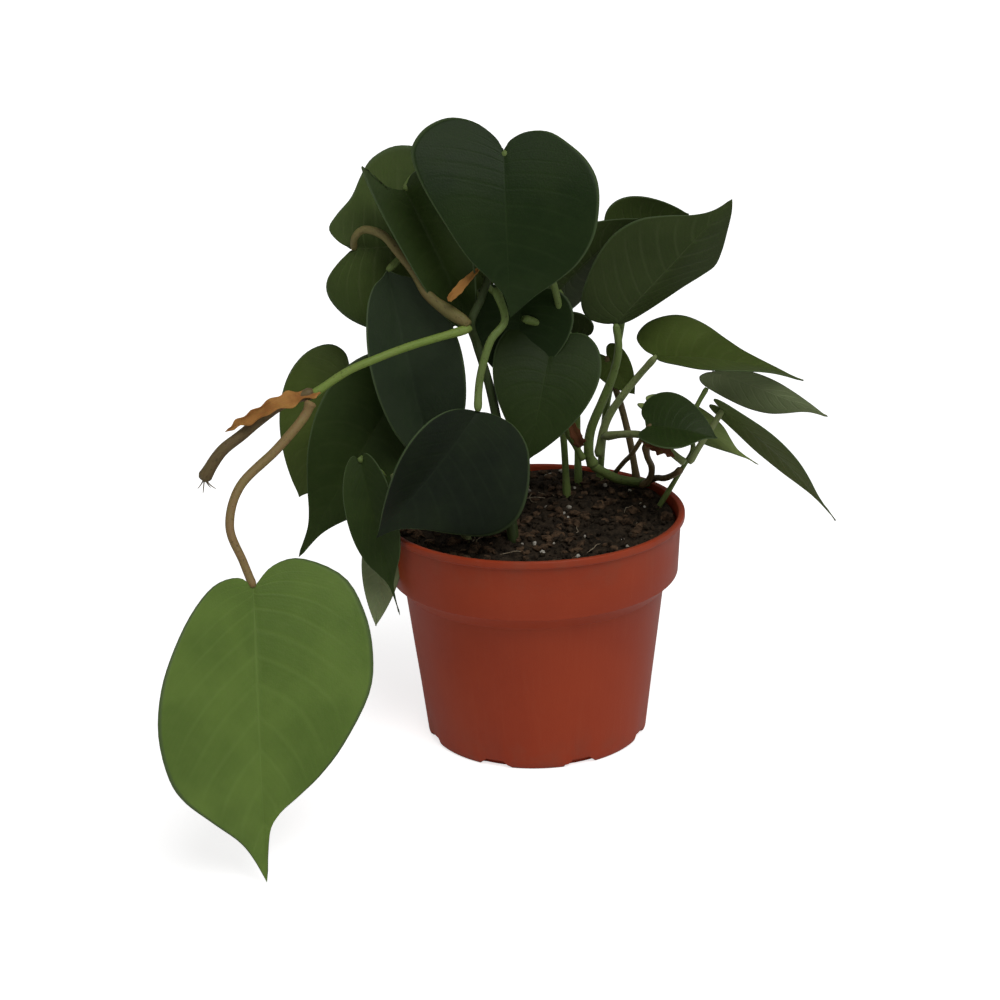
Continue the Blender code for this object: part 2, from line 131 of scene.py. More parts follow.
shape = bmesh.new()
bmesh.ops.create_grid(shape, x_segments=1, y_segments=1, size=FLOOR_SIZE / 2)
floor = put_in_scene("floor", mesh_of(shape, "floor"))
floor_paint = bpy.data.materials.new("floor_paint")
floor_paint.use_nodes = True
floor_shader = floor_paint.node_tree.nodes["Principled BSDF"]
floor_shader.inputs["Base Color"].default_value = FLOOR_COLOUR
floor_shader.inputs["Roughness"].default_value = 0.9
floor_shader.inputs["Specular IOR Level"].default_value = 0.1
floor_shader.inputs["Emission Color"].default_value = (1, 1, 1, 1)
light_path = floor_paint.node_tree.nodes.new("ShaderNodeLightPath")
lift = floor_paint.node_tree.nodes.new("ShaderNodeMath")
lift.operation = "MULTIPLY"
lift.inputs[1].default_value = FLOOR_LIFT
floor_paint.node_tree.links.new(light_path.outputs["Is Camera Ray"], lift.inputs[0])
floor_paint.node_tree.links.new(lift.outputs[0], floor_shader.inputs["Emission Strength"])
floor.data.materials.append(floor_paint)


def soft_sun(name, azimuth, elevation, strength, spread):
    """A very soft lamp far away: azimuth 0 shines from the front, 90 from the right."""
    data = bpy.data.lights.new(name, "SUN")
    data.energy = strength
    data.angle = math.radians(spread)
    lamp = put_in_scene(name, data)
    lamp.rotation_euler = (math.radians(90 - elevation), 0, math.radians(azimuth))


soft_sun("key_light", 24, 56, 1.2, 36)
soft_sun("left_fill", -70, 35, 0.16, 60)
soft_sun("right_fill", 70, 40, 0.28, 60)
world = bpy.data.worlds.new("studio")
world.use_nodes = True
world.node_tree.nodes["Background"].inputs["Color"].default_value = (1, 1, 1, 1)
world.node_tree.nodes["Background"].inputs["Strength"].default_value = WORLD_LIGHT
bpy.context.scene.world = world
bpy.context.scene.view_settings.view_transform = "Standard"

# %% [markdown]
# ## Helpers for node groups
# Effects that several finishes share are built once, as shader node groups. A group only puts out
# colours, masks and heights; the Principled shader stays in each material.

# %% Node helpers
def feed(tree, socket, value):
    """Joins an output to a socket, or sets the socket's own value."""
    if isinstance(value, bpy.types.NodeSocket):
        tree.links.new(value, socket)
    elif isinstance(value, (tuple, list)) and socket.type == "RGBA":
        socket.default_value = (*value[:3], 1)
    else:
        socket.default_value = value


def add_node(tree, kind, settings=None, **inputs):
    """A new node with some settings, and its inputs joined or filled by name."""
    node = tree.nodes.new(f"ShaderNode{kind}")
    for key, value in (settings or {}).items():
        setattr(node, key, value)
    for key, value in inputs.items():
        feed(tree, node.inputs[key.replace("_", " ")], value)
    return node


def calc(tree, operation, first, second=0.0, third=0.0, clamp=False):
    """The output of a Math node."""
    node = add_node(tree, "Math", {"operation": operation, "use_clamp": clamp})
    for socket, value in zip(node.inputs, (first, second, third)):
        feed(tree, socket, value)
    return node.outputs[0]


def blend_colour(tree, amount, first, second):
    """The output of a colour Mix node."""
    node = add_node(tree, "Mix", {"data_type": "RGBA"})
    feed(tree, node.inputs[0], amount)
    feed(tree, node.inputs[6], first)
    feed(tree, node.inputs[7], second)
    return node.outputs[2]


def step(tree, value, low, high):
    """0 below low, 1 above high and smooth between them."""
    settings = {"interpolation_type": "SMOOTHSTEP"}
    node = add_node(tree, "MapRange", settings, Value=value, From_Min=low, From_Max=high)
    return node.outputs[0]


def grain(tree, vector, scale, detail=3.0, roughness=0.5):
    """The value of a Noise node."""
    node = add_node(
        tree, "TexNoise", Vector=vector, Scale=scale, Detail=detail, Roughness=roughness
    )
    return node.outputs["Fac"]


def shade(colour):
    """A colour from its red, green and blue in thousandths."""
    return tuple(part / 1000 for part in colour)


def object_places(tree):
    """Object coordinates, which have the same scale on every piece."""
    return add_node(tree, "TexCoord").outputs["Object"]


def new_group(name, inputs, outputs):
    """A node group; it returns the tree and the sockets of its inputs and its outputs."""
    tree = bpy.data.node_groups.new(name, "ShaderNodeTree")
    for socket, kind, value in inputs:
        made = tree.interface.new_socket(socket, in_out="INPUT", socket_type=f"NodeSocket{kind}")
        if value is not None:
            made.default_value = value
    for socket, kind in outputs:
        tree.interface.new_socket(socket, in_out="OUTPUT", socket_type=f"NodeSocket{kind}")
    given, result = (tree.nodes.new(f"NodeGroup{end}") for end in ("Input", "Output"))
    return tree, given.outputs, result.inputs


def place_group(tree, group, **inputs):
    """The outputs of a group node, its inputs joined or filled by name."""
    return add_node(tree, "Group", {"node_tree": group}, **inputs).outputs


def new_finish(name, specular, subsurface=0.0):
    """A material whose Principled shader is still plain; it returns material, tree and shader."""
    material = bpy.data.materials.new(name)
    material.use_nodes = True
    shader = material.node_tree.nodes["Principled BSDF"]
    shader.inputs["Specular IOR Level"].default_value = specular
    if subsurface:
        shader.inputs["Subsurface Weight"].default_value = subsurface
        shader.inputs["Subsurface Radius"].default_value = (0.4, 1.0, 0.2)
        shader.inputs["Subsurface Scale"].default_value = MM
    return material, material.node_tree, shader


def finish_surface(tree, shader, colour, roughness, height, depth, strength=1.0):
    """Joins colour, roughness and a bump of some depth in metres to the shader."""
    bump = add_node(tree, "Bump", Strength=strength, Distance=depth, Height=height)
    feed(tree, shader.inputs["Base Color"], colour)
    feed(tree, shader.inputs["Roughness"], roughness)
    feed(tree, shader.inputs["Normal"], bump.outputs["Normal"])


print("helpers ready")

# %% [markdown]
# ## Leaf skin
# A philodendron leaf has a sunken pale midrib, side veins that leave it near the stalk and sweep
# out to the margin, and a hair-thin pale rim. The pattern follows the blade's own UV map, where u
# runs across and v from notch to tip. One group turns the map into masks for rib, veins and rim,
# and a second one paints with them. Mottling and cell grain are noise in object space.

# %% Leaf groups
BLACK = (0, 0, 0, 1)
VEIN_LEAN = 0.36
MAIN_VEINS = 10
FINE_VEINS = 44


def line_mask(tree, place, count, width):
    """Thin lines, count of them for each unit of place."""
    phase = calc(tree, "FRACT", calc(tree, "MULTIPLY", place, count))
    away = calc(tree, "ABSOLUTE", calc(tree, "SUBTRACT", phase, 0.5))
    return calc(tree, "SUBTRACT", 1.0, step(tree, away, 0.0, width))


def build_leaf_map():
    outputs = [("Rib", "Float"), ("Veins", "Float"), ("Fine veins", "Float"), ("Rim", "Float")]
    tree, given, result = new_group("leaf_map", [("Map", "Vector", None)], outputs)
    split = add_node(tree, "SeparateXYZ", Vector=given["Map"])
    across = calc(tree, "ABSOLUTE", calc(tree, "MULTIPLY_ADD", split.outputs["X"], 2.0, -1.0))
    along = split.outputs["Y"]
    lean = calc(tree, "MULTIPLY", across, VEIN_LEAN)
    shifted = calc(tree, "SUBTRACT", along, lean)
    place = calc(tree, "DIVIDE", shifted, calc(tree, "SUBTRACT", 1.0, lean))
    fade = calc(tree, "SUBTRACT", 1.0, step(tree, across, 0.55, 1.0))
    width = calc(tree, "MULTIPLY_ADD", along, -0.02, 0.035)
    rib = calc(tree, "SUBTRACT", 1.0, step(tree, across, 0.0, width))
    feed(tree, result["Rib"], rib)
    main_veins = line_mask(tree, place, MAIN_VEINS, 0.16)
    feed(tree, result["Veins"], calc(tree, "MULTIPLY", main_veins, fade))
    feed(tree, result["Fine veins"], line_mask(tree, place, FINE_VEINS, 0.5))
    feed(tree, result["Rim"], step(tree, across, 0.958, 0.99))
    return tree


def build_leaf_paint():
    inputs = [("Map", "Vector", None)]
    inputs += [(colour, "Color", BLACK) for colour in ("Deep", "Light", "Vein", "Rim")]
    inputs += [("Vein strength", "Float", 0.3)]
    outputs = [("Colour", "Color"), ("Roughness", "Float"), ("Height", "Float")]
    tree, given, result = new_group("leaf_paint", inputs, outputs)
    masks = place_group(tree, LEAF_MAP, Map=given["Map"])
    spots = object_places(tree)
    mottle = step(tree, grain(tree, spots, 38.0, 4.0, 0.55), 0.32, 0.68)
    cells = grain(tree, spots, 1400.0, 2.0)
    freckles = grain(tree, spots, 260.0, 3.0)
    colour = blend_colour(tree, mottle, given["Deep"], given["Light"])
    freckled = calc(tree, "MULTIPLY", freckles, 0.22)
    colour = blend_colour(tree, freckled, colour, given["Vein"])
    strength = given["Vein strength"]
    soft = calc(tree, "MULTIPLY", masks["Veins"], strength)
    faint_strength = calc(tree, "MULTIPLY", strength, 0.16)
    faint = calc(tree, "MULTIPLY", masks["Fine veins"], faint_strength)
    rib_strength = calc(tree, "MULTIPLY", strength, 1.9)
    rib = calc(tree, "MULTIPLY", masks["Rib"], rib_strength, clamp=True)
    veins = calc(tree, "MAXIMUM", calc(tree, "ADD", soft, faint), rib)
    colour = blend_colour(tree, veins, colour, given["Vein"])
    rim = calc(tree, "MULTIPLY", masks["Rim"], 0.75)
    colour = blend_colour(tree, rim, colour, given["Rim"])
    feed(tree, result["Colour"], colour)
    feed(tree, result["Roughness"], calc(tree, "MULTIPLY_ADD", mottle, 0.07, 0.40))
    sunk = calc(tree, "MULTIPLY", veins, -1.2)
    feed(tree, result["Height"], calc(tree, "MULTIPLY_ADD", cells, 0.35, sunk))
    return tree


LEAF_MAP = build_leaf_map()
LEAF_PAINT = build_leaf_paint()
print("leaf groups:", LEAF_MAP.name, LEAF_PAINT.name)

# %% [markdown]
# The finishes come in two layers each: a green upper skin and a paler, duller underside. Old
# leaves are a deep green and young ones are lighter and yellower. Some finishes carry painted
# light: the slate and the grey skins have a painted sheen in their base colour, the side skin is a
# lit copy of the leafy green, and the pale back is lightened further as painted light on undersides
# in shade. Each finish is a row of values fed to the same two groups.

# %% Leaf finishes
RIM_PALE = (90, 130, 55)


def skin(name, deep, light, vein, vein_strength, specular=0.12, duller=0.0):
    """A leaf skin: two greens that mottle, a vein colour and how strongly the veins show."""
    material, tree, shader = new_finish(name, specular, 0.08)
    uv = add_node(tree, "UVMap", {"uv_map": "blade"})
    paint = place_group(
        tree, LEAF_PAINT, Map=uv.outputs["UV"], Deep=shade(deep), Light=shade(light),
        Vein=shade(vein), Rim=shade(RIM_PALE), Vein_strength=vein_strength
    )
    rough = calc(tree, "ADD", paint["Roughness"], duller)
    finish_surface(
        tree, shader, paint["Colour"], rough, paint["Height"], 0.4 * MM, 0.5
    )
    return material


DARK = skin("dark_upper", (12, 26, 6), (19, 36, 8), (35, 60, 18), 0.14)
# The slate and the grey skins are dark greens with a painted sheen: the blue-grey cast of the
# reflected white surroundings is painted into their base colour.
SHEEN_SLATE = skin("sheen_slate_upper", (9, 14, 8), (15, 24, 10), (32, 48, 24), 0.12)
SHEEN_GREY = skin("sheen_grey_upper", (30, 47, 24), (42, 62, 32), (62, 85, 45), 0.08)
MIDDLE = skin("middle_upper", (19, 35, 7), (28, 48, 10), (50, 75, 22), 0.14)
LEAF_GREEN = skin("leafy_upper", (22, 41, 8), (34, 58, 12), (60, 85, 24), 0.14)
# The side skin is a lit copy of the leafy green: painted light for leaves that take the lamp from
# the side.
LIT_SIDE_GREEN = skin("lit_side_upper", (60, 88, 15), (82, 118, 21), (120, 160, 45), 0.16)
FRESH = skin("fresh_upper", (110, 180, 34), (150, 235, 46), (200, 300, 70), 0.22)
YELLOW = skin("yellow_upper", (170, 230, 60), (240, 300, 95), (300, 350, 140), 0.2)
DARK_BACK = skin("dark_back", (36, 54, 14), (48, 70, 19), (80, 105, 40), 0.35, 0.1, 0.1)
GREEN_BACK = skin("green_back", (48, 74, 18), (66, 100, 22), (110, 140, 50), 0.35, 0.1, 0.1)
MID_BACK = skin("mid_back", (82, 122, 30), (110, 155, 42), (150, 195, 70), 0.28, 0.1, 0.1)
# The pale back is a paler underside, made lighter still as painted light on undersides that lie in
# shade.
PALE_LIT_BACK = skin("pale_lit_back", (185, 225, 105), (235, 285, 140), (290, 340, 180), 0.3, 0.1, 0.1)
# The upper finish, the underside finish and the slot of each kind of leaf.
DEEP = (DARK, DARK_BACK, "dark_leaf")
MID_DARK = (MIDDLE, DARK_BACK, "dark_leaf")
SHEEN_SLATED = (SHEEN_SLATE, DARK_BACK, "grey_green_leaf")
SHEENED = (SHEEN_GREY, DARK_BACK, "grey_green_leaf")
MID_GREY = (MIDDLE, DARK_BACK, "grey_green_leaf")
PAINTED_SIDE_LIGHT = (LIT_SIDE_GREEN, PALE_LIT_BACK, "young_leaf")
YELLOWED = (YELLOW, PALE_LIT_BACK, "young_leaf")
NEW = (FRESH, PALE_LIT_BACK, "young_leaf")
TURNED = (DARK, GREEN_BACK, "pale_underside")
LEAFY = (LEAF_GREEN, DARK_BACK, "dark_leaf")
BACKED = (DARK, GREEN_BACK, "dark_leaf")
PALE_LIT_TURNED = (LIT_SIDE_GREEN, PALE_LIT_BACK, "pale_underside")
MID_TURNED = (LIT_SIDE_GREEN, MID_BACK, "pale_underside")
print("leaf finishes:", [m.name for m in bpy.data.materials if m.name.endswith(("upper", "back"))])

# %% [markdown]
# ## The shape of a blade
# A heart-shaped blade is modelled once, as a function. A flat grid is bent into place: rows run
# from the notch to the tip and columns from margin to margin, and the outline is a handful of
# points joined by a smooth curve. The grid is then given what a leaf has: a drooping midrib, two
# raised halves that meet in a soft valley, lobes that roll, a slightly wavy margin and the low
# quilting between side veins. Solidify makes it a real sheet, with a second finish on the back.

# %% Curves and directions
def through(points, share):
    """The place at a share of the way along a smooth curve through the points."""
    spans = len(points) - 1
    place = min(max(share, 0.0), 1.0) * spans
    first = min(int(place), spans - 1)
    t = place - first
    p1 = Vector(points[first])
    p2 = Vector(points[first + 1])
    p0 = Vector(points[first - 1]) if first > 0 else 2 * p1 - p2
    p3 = Vector(points[first + 2]) if first + 2 <= spans else 2 * p2 - p1
    turn = (2 * p0 - 5 * p1 + 4 * p2 - p3) * t**2 + (3 * p1 - p0 - 3 * p2 + p3) * t**3
    return p1 + 0.5 * ((p2 - p0) * t + turn)


def direction(azimuth, elevation):
    """A unit direction: azimuth 0 looks to the front, 90 to the right; elevation 90 looks up."""
    turn = math.radians(azimuth)
    lift = math.radians(elevation)
    level = math.cos(lift)
    return Vector((level * math.sin(turn), -level * math.cos(turn), math.sin(lift)))


def bent(distance, angle, curl, span):
    """Where a point across the blade lies once its half is raised by angle and rolled by curl."""
    if abs(curl) < 0.001:
        return distance * math.cos(angle), distance * math.sin(angle)
    end = angle + curl * distance / span
    reach = span / curl
    return reach * (math.sin(end) - math.sin(angle)), reach * (math.cos(angle) - math.cos(end))


print("a quarter turn to the right looks along", tuple(round(c, 2) for c in direction(90, 0)))

# %% Leaf outlines
def margin(*points):
    """A half outline from notch to tip: hundredths of the half width, and of the length."""
    return ((0, 0), *((across / 100, along / 100) for across, along in points), (0, 1))


# Half of a heart-shaped blade.
HEART = margin(
    (10, -9), (32, -19), (63, -19), (89, -7), (100, 11), (96, 31), (79, 52), (52, 72), (24, 88),
    (6, 96.5),
)
# Half of an egg-shaped blade: small lobes, widest near the middle, a long drip tip.
EGG = margin(
    (14, -5), (40, -8.5), (66, -3), (86, 12), (98, 28), (99, 42), (86, 56), (58, 68), (28, 78.5),
    (10, 88),
)
# Half of a broad blade: narrow lobes close to the notch, widest a third of the way along.
BROAD = margin(
    (8, -8), (22, -13), (36, -7), (52, 3), (74, 11), (90, 19), (100, 34), (93, 52), (66, 74),
    (28, 90),
)
# The crown leaf's two halves: one lobe stands higher, the other half is fuller below the middle.
CROWN_HIGH = margin(
    (8, -9), (30, -19), (57, -22), (80, -17), (95, -8), (100, 2), (90, 19), (69, 40), (44, 62),
    (17, 78), (4, 88),
)
CROWN_FULL = margin(
    (7, -7), (26, -12), (50, -11), (72, -2), (90, 9), (100, 22), (100, 38), (93, 54), (76, 68),
    (53, 78), (28, 87),
)
# The trailing leaf's two halves: one round at the lobe, the other round towards the tip.
TRAIL_HIGH = margin(
    (17, -7), (42, -9), (78, -2), (95, 11), (100, 25), (95, 38), (72, 54), (51, 64), (31, 71),
    (13, 77), (4, 84),
)
TRAIL_LOW = margin(
    (15, -3), (39, 0), (62, 9), (83, 22), (96, 34), (100, 47), (92, 60), (78, 68), (52, 76),
    (26, 84), (12, 91),
)
# The near half of the front leaf: no lobe, and slim from notch to tip.
FRONT_UPPER = margin(
    (10, 3), (25, 9), (38, 17), (48, 28), (52, 41), (48, 55), (36, 69), (20, 83), (7, 93),
)
# The folded crown leaf: a low inner lobe, and an outer lobe that rises to a point.
CROWN_SPLIT = margin(
    (15, -3), (40, -5), (70, -2), (92, 8), (100, 22), (96, 40), (80, 60), (52, 78), (24, 90),
    (6, 96.5),
)
SPLIT_POINT = margin(
    (13, -2), (27, -6), (41, -13), (53, -24), (59, -10), (60, 9), (58, 25), (55, 40), (50, 58),
    (41, 78), (25, 92),
)
# The high left leaf's lower half: a long full lobe.
BROAD_LOW = margin(
    (10, -9), (28, -18), (46, -18), (66, -9), (80, 5), (89, 22), (92, 40), (83, 60), (58, 78),
    (26, 91),
)
# The grey leaf's left half: no lobe, full below the middle.
SLOPING = margin(
    (20, 3), (45, 6), (70, 13), (90, 25), (100, 38), (97, 52), (82, 66), (55, 78), (28, 87),
    (10, 94),
)
# The tall right leaf's right half: no lobe, and a straight margin up to a bulge near the tip.
TALL_RIGHT = margin(
    (10, 2), (22, 8), (34, 18), (46, 30), (58, 42), (72, 54), (80, 64), (66, 74), (44, 84),
    (20, 94),
)
# The upper right leaf: a near half with no lobe, and a large far lobe that narrows into a long tip.
RIGHT_NEAR = margin(
    (10, 2), (24, 10), (36, 20), (50, 30), (70, 42), (78, 52), (70, 62), (50, 73), (28, 84),
    (12, 93),
)
RIGHT_FAR = margin(
    (16, -10), (42, -17), (70, -12), (88, 0), (92, 12), (80, 27), (56, 43), (35, 57), (22, 71),
    (12, 87),
)
# A heart with a long drip tip, and a slim blade with a tip like a needle.
DRIPPING = margin(
    (10, -9), (32, -18), (63, -17), (89, -5), (100, 11), (95, 29), (76, 47), (48, 63), (24, 75),
    (10, 85),
)
NEEDLE = margin(
    (25, -5), (60, 1), (90, 15), (100, 32), (93, 48), (70, 61), (38, 70), (13, 78), (5, 86),
)
# Half of a dry sheath: a narrow strip with a point at both ends.
STRIP = margin((70, 6), (100, 30), (80, 62), (35, 88))

# %% Blade builder
COLUMNS = 36
ROWS = 46
BLADE_THICKNESS = 0.45
VALLEY = 1.6
RIB_DEPTH = 0.30
RIB_WIDTH = 0.9
QUILT = 0.06
WAVE_SCALE = 0.045
TEAR_SCALE = 11
ROW_EASE = 1.4
LEAF_BASES = []


def finish_piece(name, mesh, node):
    """Puts a mesh into the scene in place of a plain node."""
    piece = put_in_scene(name, mesh)
    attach(piece, "root")
    if node:
        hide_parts(node)
    return piece


def leaf(name, base, tip, width, faces, finish, outline, other=None, droop=30, fold=(12, 12), cup=0,
         twist=0, skew=0.0, flutter=0.6, ragged=0.0, thickness=BLADE_THICKNESS, rows=ROWS,
         columns=COLUMNS):
    """A blade from its notch (base) to its tip, its upper side facing (azimuth, elevation).

    droop bends the midrib along its length, fold raises the two halves, cup rolls them further
    up and twist turns the blade along its length, all in degrees. skew sets one lobe behind the
    other, as a share of the way across. other is the second half's outline where it differs, and
    flutter is how far the margin waves, in millimetres. ragged is how deep its tears go, as a
    share of the width.
    """
    upper, under, slot = finish
    start = Vector(base)
    LEAF_BASES.append(start)
    run = Vector(tip) - start
    along = run.normalized()
    normal = direction(*faces)
    normal = (normal - along * normal.dot(along)).normalized()
    side = along.cross(normal)
    bend = math.radians(droop if abs(droop) > 0.5 else 0.5)
    radius = run.length / (2 * math.sin(bend / 2))
    length = radius * bend
    half = width / 2

    def place(across, forward, row, inward):
        """The blade's point at a flat place (across, forward), both in millimetres."""
        share = forward / length
        lean = bend / 2 - bend * share
        forth = math.sin(bend / 2) - math.sin(lean)
        rise = math.cos(lean) - math.cos(bend / 2)
        middle = start + radius * (along * forth + normal * rise)
        up = normal * math.cos(lean) - along * math.sin(lean)
        roll = math.radians(twist) * share
        outward = side * math.cos(roll) + up * math.sin(roll)
        up = up * math.cos(roll) - side * math.sin(roll)
        raise_angle = math.radians(fold[0] if across < 0 else fold[1])
        far = math.sqrt(across**2 + VALLEY**2) - VALLEY
        reach, _ = bent(abs(across), raise_angle, math.radians(cup), half)
        _, lift = bent(far, raise_angle, math.radians(cup), half)
        vein = (row - VEIN_LEAN * inward) / (1 - VEIN_LEAN * inward)
        lift += QUILT * math.sin(math.tau * MAIN_VEINS * vein) * inward * (1 - inward) * 4
        lift -= RIB_DEPTH * math.exp(-((across / RIB_WIDTH) ** 2)) * (1 - row)
        point = middle + outward * math.copysign(reach, across) + up * lift
        wave = noise.noise(point * WAVE_SCALE + Vector((0, 0, len(name))))
        return point + up * (flutter * wave * (0.3 + inward**3))

    shape = bmesh.new()
    bmesh.ops.create_grid(shape, x_segments=columns, y_segments=rows, size=1.0)
    layer = shape.loops.layers.uv.new("blade")
    for face in shape.faces:
        for loop in face.loops:
            loop[layer].uv = ((loop.vert.co.x + 1) / 2, (loop.vert.co.y + 1) / 2)
    for vert in shape.verts:
        row = (vert.co.y + 1) / 2
        inward = abs(vert.co.x)
        points = other if other and vert.co.x > 0 else outline
        edge = through([(x, y, 0) for x, y in points], row)
        tear = noise.noise(Vector((row * TEAR_SCALE, vert.co.x, len(name))))
        torn = 1 + ragged * tear * inward**2
        across = math.copysign(edge.x * half * inward * torn, vert.co.x)
        forward = length * ((1 - inward) * row**ROW_EASE + inward * edge.y)
        forward -= skew * across * (1 - row)
        vert.co = place(across, forward, row, inward) * MM
    bmesh.ops.remove_doubles(shape, verts=shape.verts, dist=MERGE)
    mesh = mesh_of(shape, name, upper, under)
    mesh.shade_smooth()
    piece = finish_piece(f"{name}_blade", mesh, name)
    thicken = piece.modifiers.new("thickness", "SOLIDIFY")
    thicken.thickness = thickness * MM
    thicken.offset = -1
    thicken.material_offset = 1
    thicken.material_offset_rim = 0

# %% [markdown]
# ## The twenty-two blades
# Each call sets one leaf: where its notch and its tip are, how wide it is, where its upper side
# looks and how it folds. Leaves turn to the light, so most of them face the front and the sides,
# and a few seen from behind show their pale backs.

# %% Leaf calls
leaf("leaf_crown_front", (-8, -6, 235), (-7, -20, 175), 69, (0, 14), DEEP, CROWN_FULL, CROWN_HIGH,
     droop=34, fold=(4, 6))
# The folded crown leaf takes the lighter leafy green instead of the deep one: painted light on a
# leaf in partial shade.
leaf("leaf_crown_folded", (-46, 8, 219), (-22, -2, 166), 46, (4, 25), LEAFY, CROWN_SPLIT,
     SPLIT_POINT, droop=24, fold=(60, 24))
leaf("leaf_high_left", (-67, 12, 195.5), (-4, 26, 196), 78, (180, -12), TURNED, BROAD_LOW, BROAD,
     droop=6, fold=(8, 8), skew=0.06)
leaf("leaf_crown_behind", (12, 24, 175), (44, 28, 202), 36, (-160, 26), DEEP, HEART, droop=20,
     fold=(16, 16))
leaf("leaf_grey_left", (-54, 7, 188), (-36, 0, 103), 44, (-8, 10), SHEENED, SLOPING, SLOPING,
     droop=20, fold=(8, 60))
leaf("leaf_left_outer", (-72, 21, 140), (-94, 15, 94), 46, (-15, 20), PAINTED_SIDE_LIGHT, HEART, droop=30,
     fold=(8, 8))
leaf("leaf_left_inner", (-54, 9, 136), (-93, -5, 76), 48, (0, 15), LEAFY, DRIPPING, droop=26,
     fold=(8, 8))
leaf("leaf_low_left", (-65, -25, 121), (-52, -35, 62), 21, (-4, 0), LEAFY, NEEDLE, droop=20,
     fold=(24, 24))
leaf("leaf_low_pale", (-58, -24, 86), (-62, -28, 55), 16, (180, 0), PALE_LIT_TURNED, HEART, droop=14,
     fold=(10, 10))
leaf("leaf_trailing", (-99, -98, 99), (-96, -134, 1.5), 82, (4, 20), NEW, TRAIL_HIGH, TRAIL_LOW,
     droop=20, fold=(2, 38))
leaf("leaf_front", (-20, -24, 140), (-59, -44, 97), 76, (20, 10), SHEEN_SLATED, EGG, FRONT_UPPER,
     droop=30, fold=(0, 30))
leaf("leaf_middle", (8, 4, 156), (-1, -10, 116), 42, (0, 20), MID_GREY, HEART, droop=30,
     fold=(6, 6))
leaf("leaf_middle_small", (-3, 10, 173), (-6, 4, 141), 42, (0, 12), DEEP, HEART, droop=24,
     fold=(10, 10))
leaf("leaf_tall_right", (34, 16, 163), (79, 16, 211), 50, (178, -7), SHEENED, TALL_RIGHT, EGG,
     droop=-16, fold=(44, -12), cup=6)
leaf("leaf_back_right", (40, 41, 190), (64, 39, 201), 36, (-170, 20), BACKED, HEART, droop=30,
     fold=(10, 10))
leaf("leaf_right_upper", (50, 19, 148.5), (106, 0, 143), 46, (10, 62), PAINTED_SIDE_LIGHT, RIGHT_FAR,
     RIGHT_NEAR, droop=28, fold=(16, 10), twist=36)
leaf("leaf_right_under", (71, 4, 146), (115, -4, 129), 20, (176, 6), PALE_LIT_TURNED, EGG,
     FRONT_UPPER, droop=20, fold=(6, 10))
leaf("leaf_right_low", (74.5, -4, 133), (117, -20, 92), 23, (111, 38), MID_TURNED, EGG, droop=20,
     fold=(-18, 12))
leaf("leaf_small_dark", (46, -8.4, 128.5), (71, -16, 125), 30, (4, 45), MID_DARK, HEART, EGG,
     droop=26, fold=(4, 30))
leaf("leaf_young", (47, 15, 130), (90, 9, 106), 18, (20, 45), YELLOWED, NEEDLE, EGG, droop=12,
     fold=(10, 30))
leaf("leaf_back_dark", (20, 45, 150), (-6, 41, 150), 28, (180, 40), DEEP, HEART, droop=30,
     fold=(10, 10))
leaf("leaf_back_grey", (31, 32, 145), (42, 29, 130), 15, (-20, 20), PALE_LIT_TURNED, HEART, droop=24,
     fold=(10, 10))

# %% [markdown]
# ## Stems and stalks
# A stalk is a long thin tube: a circle of edges is extruded ring by ring along a smooth route. Each
# ring is turned only as far as the route turns, so the tube never twists. An attribute keeps each
# point's place along and around the stalk, for the fine lines that run lengthways. A stalk swells
# a little where it leaves its stem, and thins near its blade.

# %% Stem finishes
def build_stem_paint():
    inputs = [("Fresh", "Color", BLACK), ("Aged", "Color", BLACK), ("Ageing", "Float", 0.3)]
    outputs = [("Colour", "Color"), ("Roughness", "Float"), ("Height", "Float")]
    tree, given, result = new_group("stem_paint", inputs, outputs)
    place = add_node(tree, "Attribute", {"attribute_name": "stem_map"}).outputs["Vector"]
    spots = object_places(tree)
    lines = grain(tree, place, 3.2, 4.0, 0.6)
    patches = grain(tree, spots, 70.0, 3.0)
    specks = grain(tree, spots, 900.0, 2.0)
    patchy = calc(tree, "ADD", given["Ageing"], calc(tree, "SUBTRACT", patches, 0.5))
    streaks = calc(tree, "MULTIPLY", calc(tree, "SUBTRACT", lines, 0.5), 1.1)
    aged = calc(tree, "ADD", patchy, streaks, clamp=True)
    colour = blend_colour(tree, aged, given["Fresh"], given["Aged"])
    dark_specks = calc(tree, "MULTIPLY", step(tree, specks, 0.58, 0.75), 0.5)
    colour = blend_colour(tree, dark_specks, colour, (0.05, 0.035, 0.015))
    feed(tree, result["Colour"], colour)
    feed(tree, result["Roughness"], calc(tree, "MULTIPLY_ADD", aged, 0.25, 0.42))
    feed(tree, result["Height"], calc(tree, "MULTIPLY_ADD", specks, 0.3, lines))
    return tree


STEM_PAINT = build_stem_paint()


def stem_finish(name, slot, fresh, aged, ageing):
    """A stalk's material with its slot: a fresh colour, an old one and how far it has aged."""
    material, tree, shader = new_finish(name, 0.30, 0.10)
    paint = place_group(tree, STEM_PAINT, Fresh=shade(fresh), Aged=shade(aged), Ageing=ageing)
    rough = paint["Roughness"]
    height = paint["Height"]
    finish_surface(tree, shader, paint["Colour"], rough, height, 0.3 * MM, 0.6)
    return material, slot


GREEN_STALK = stem_finish("green_stalk", "green_stem", (130, 200, 42), (190, 240, 75), 0.35)
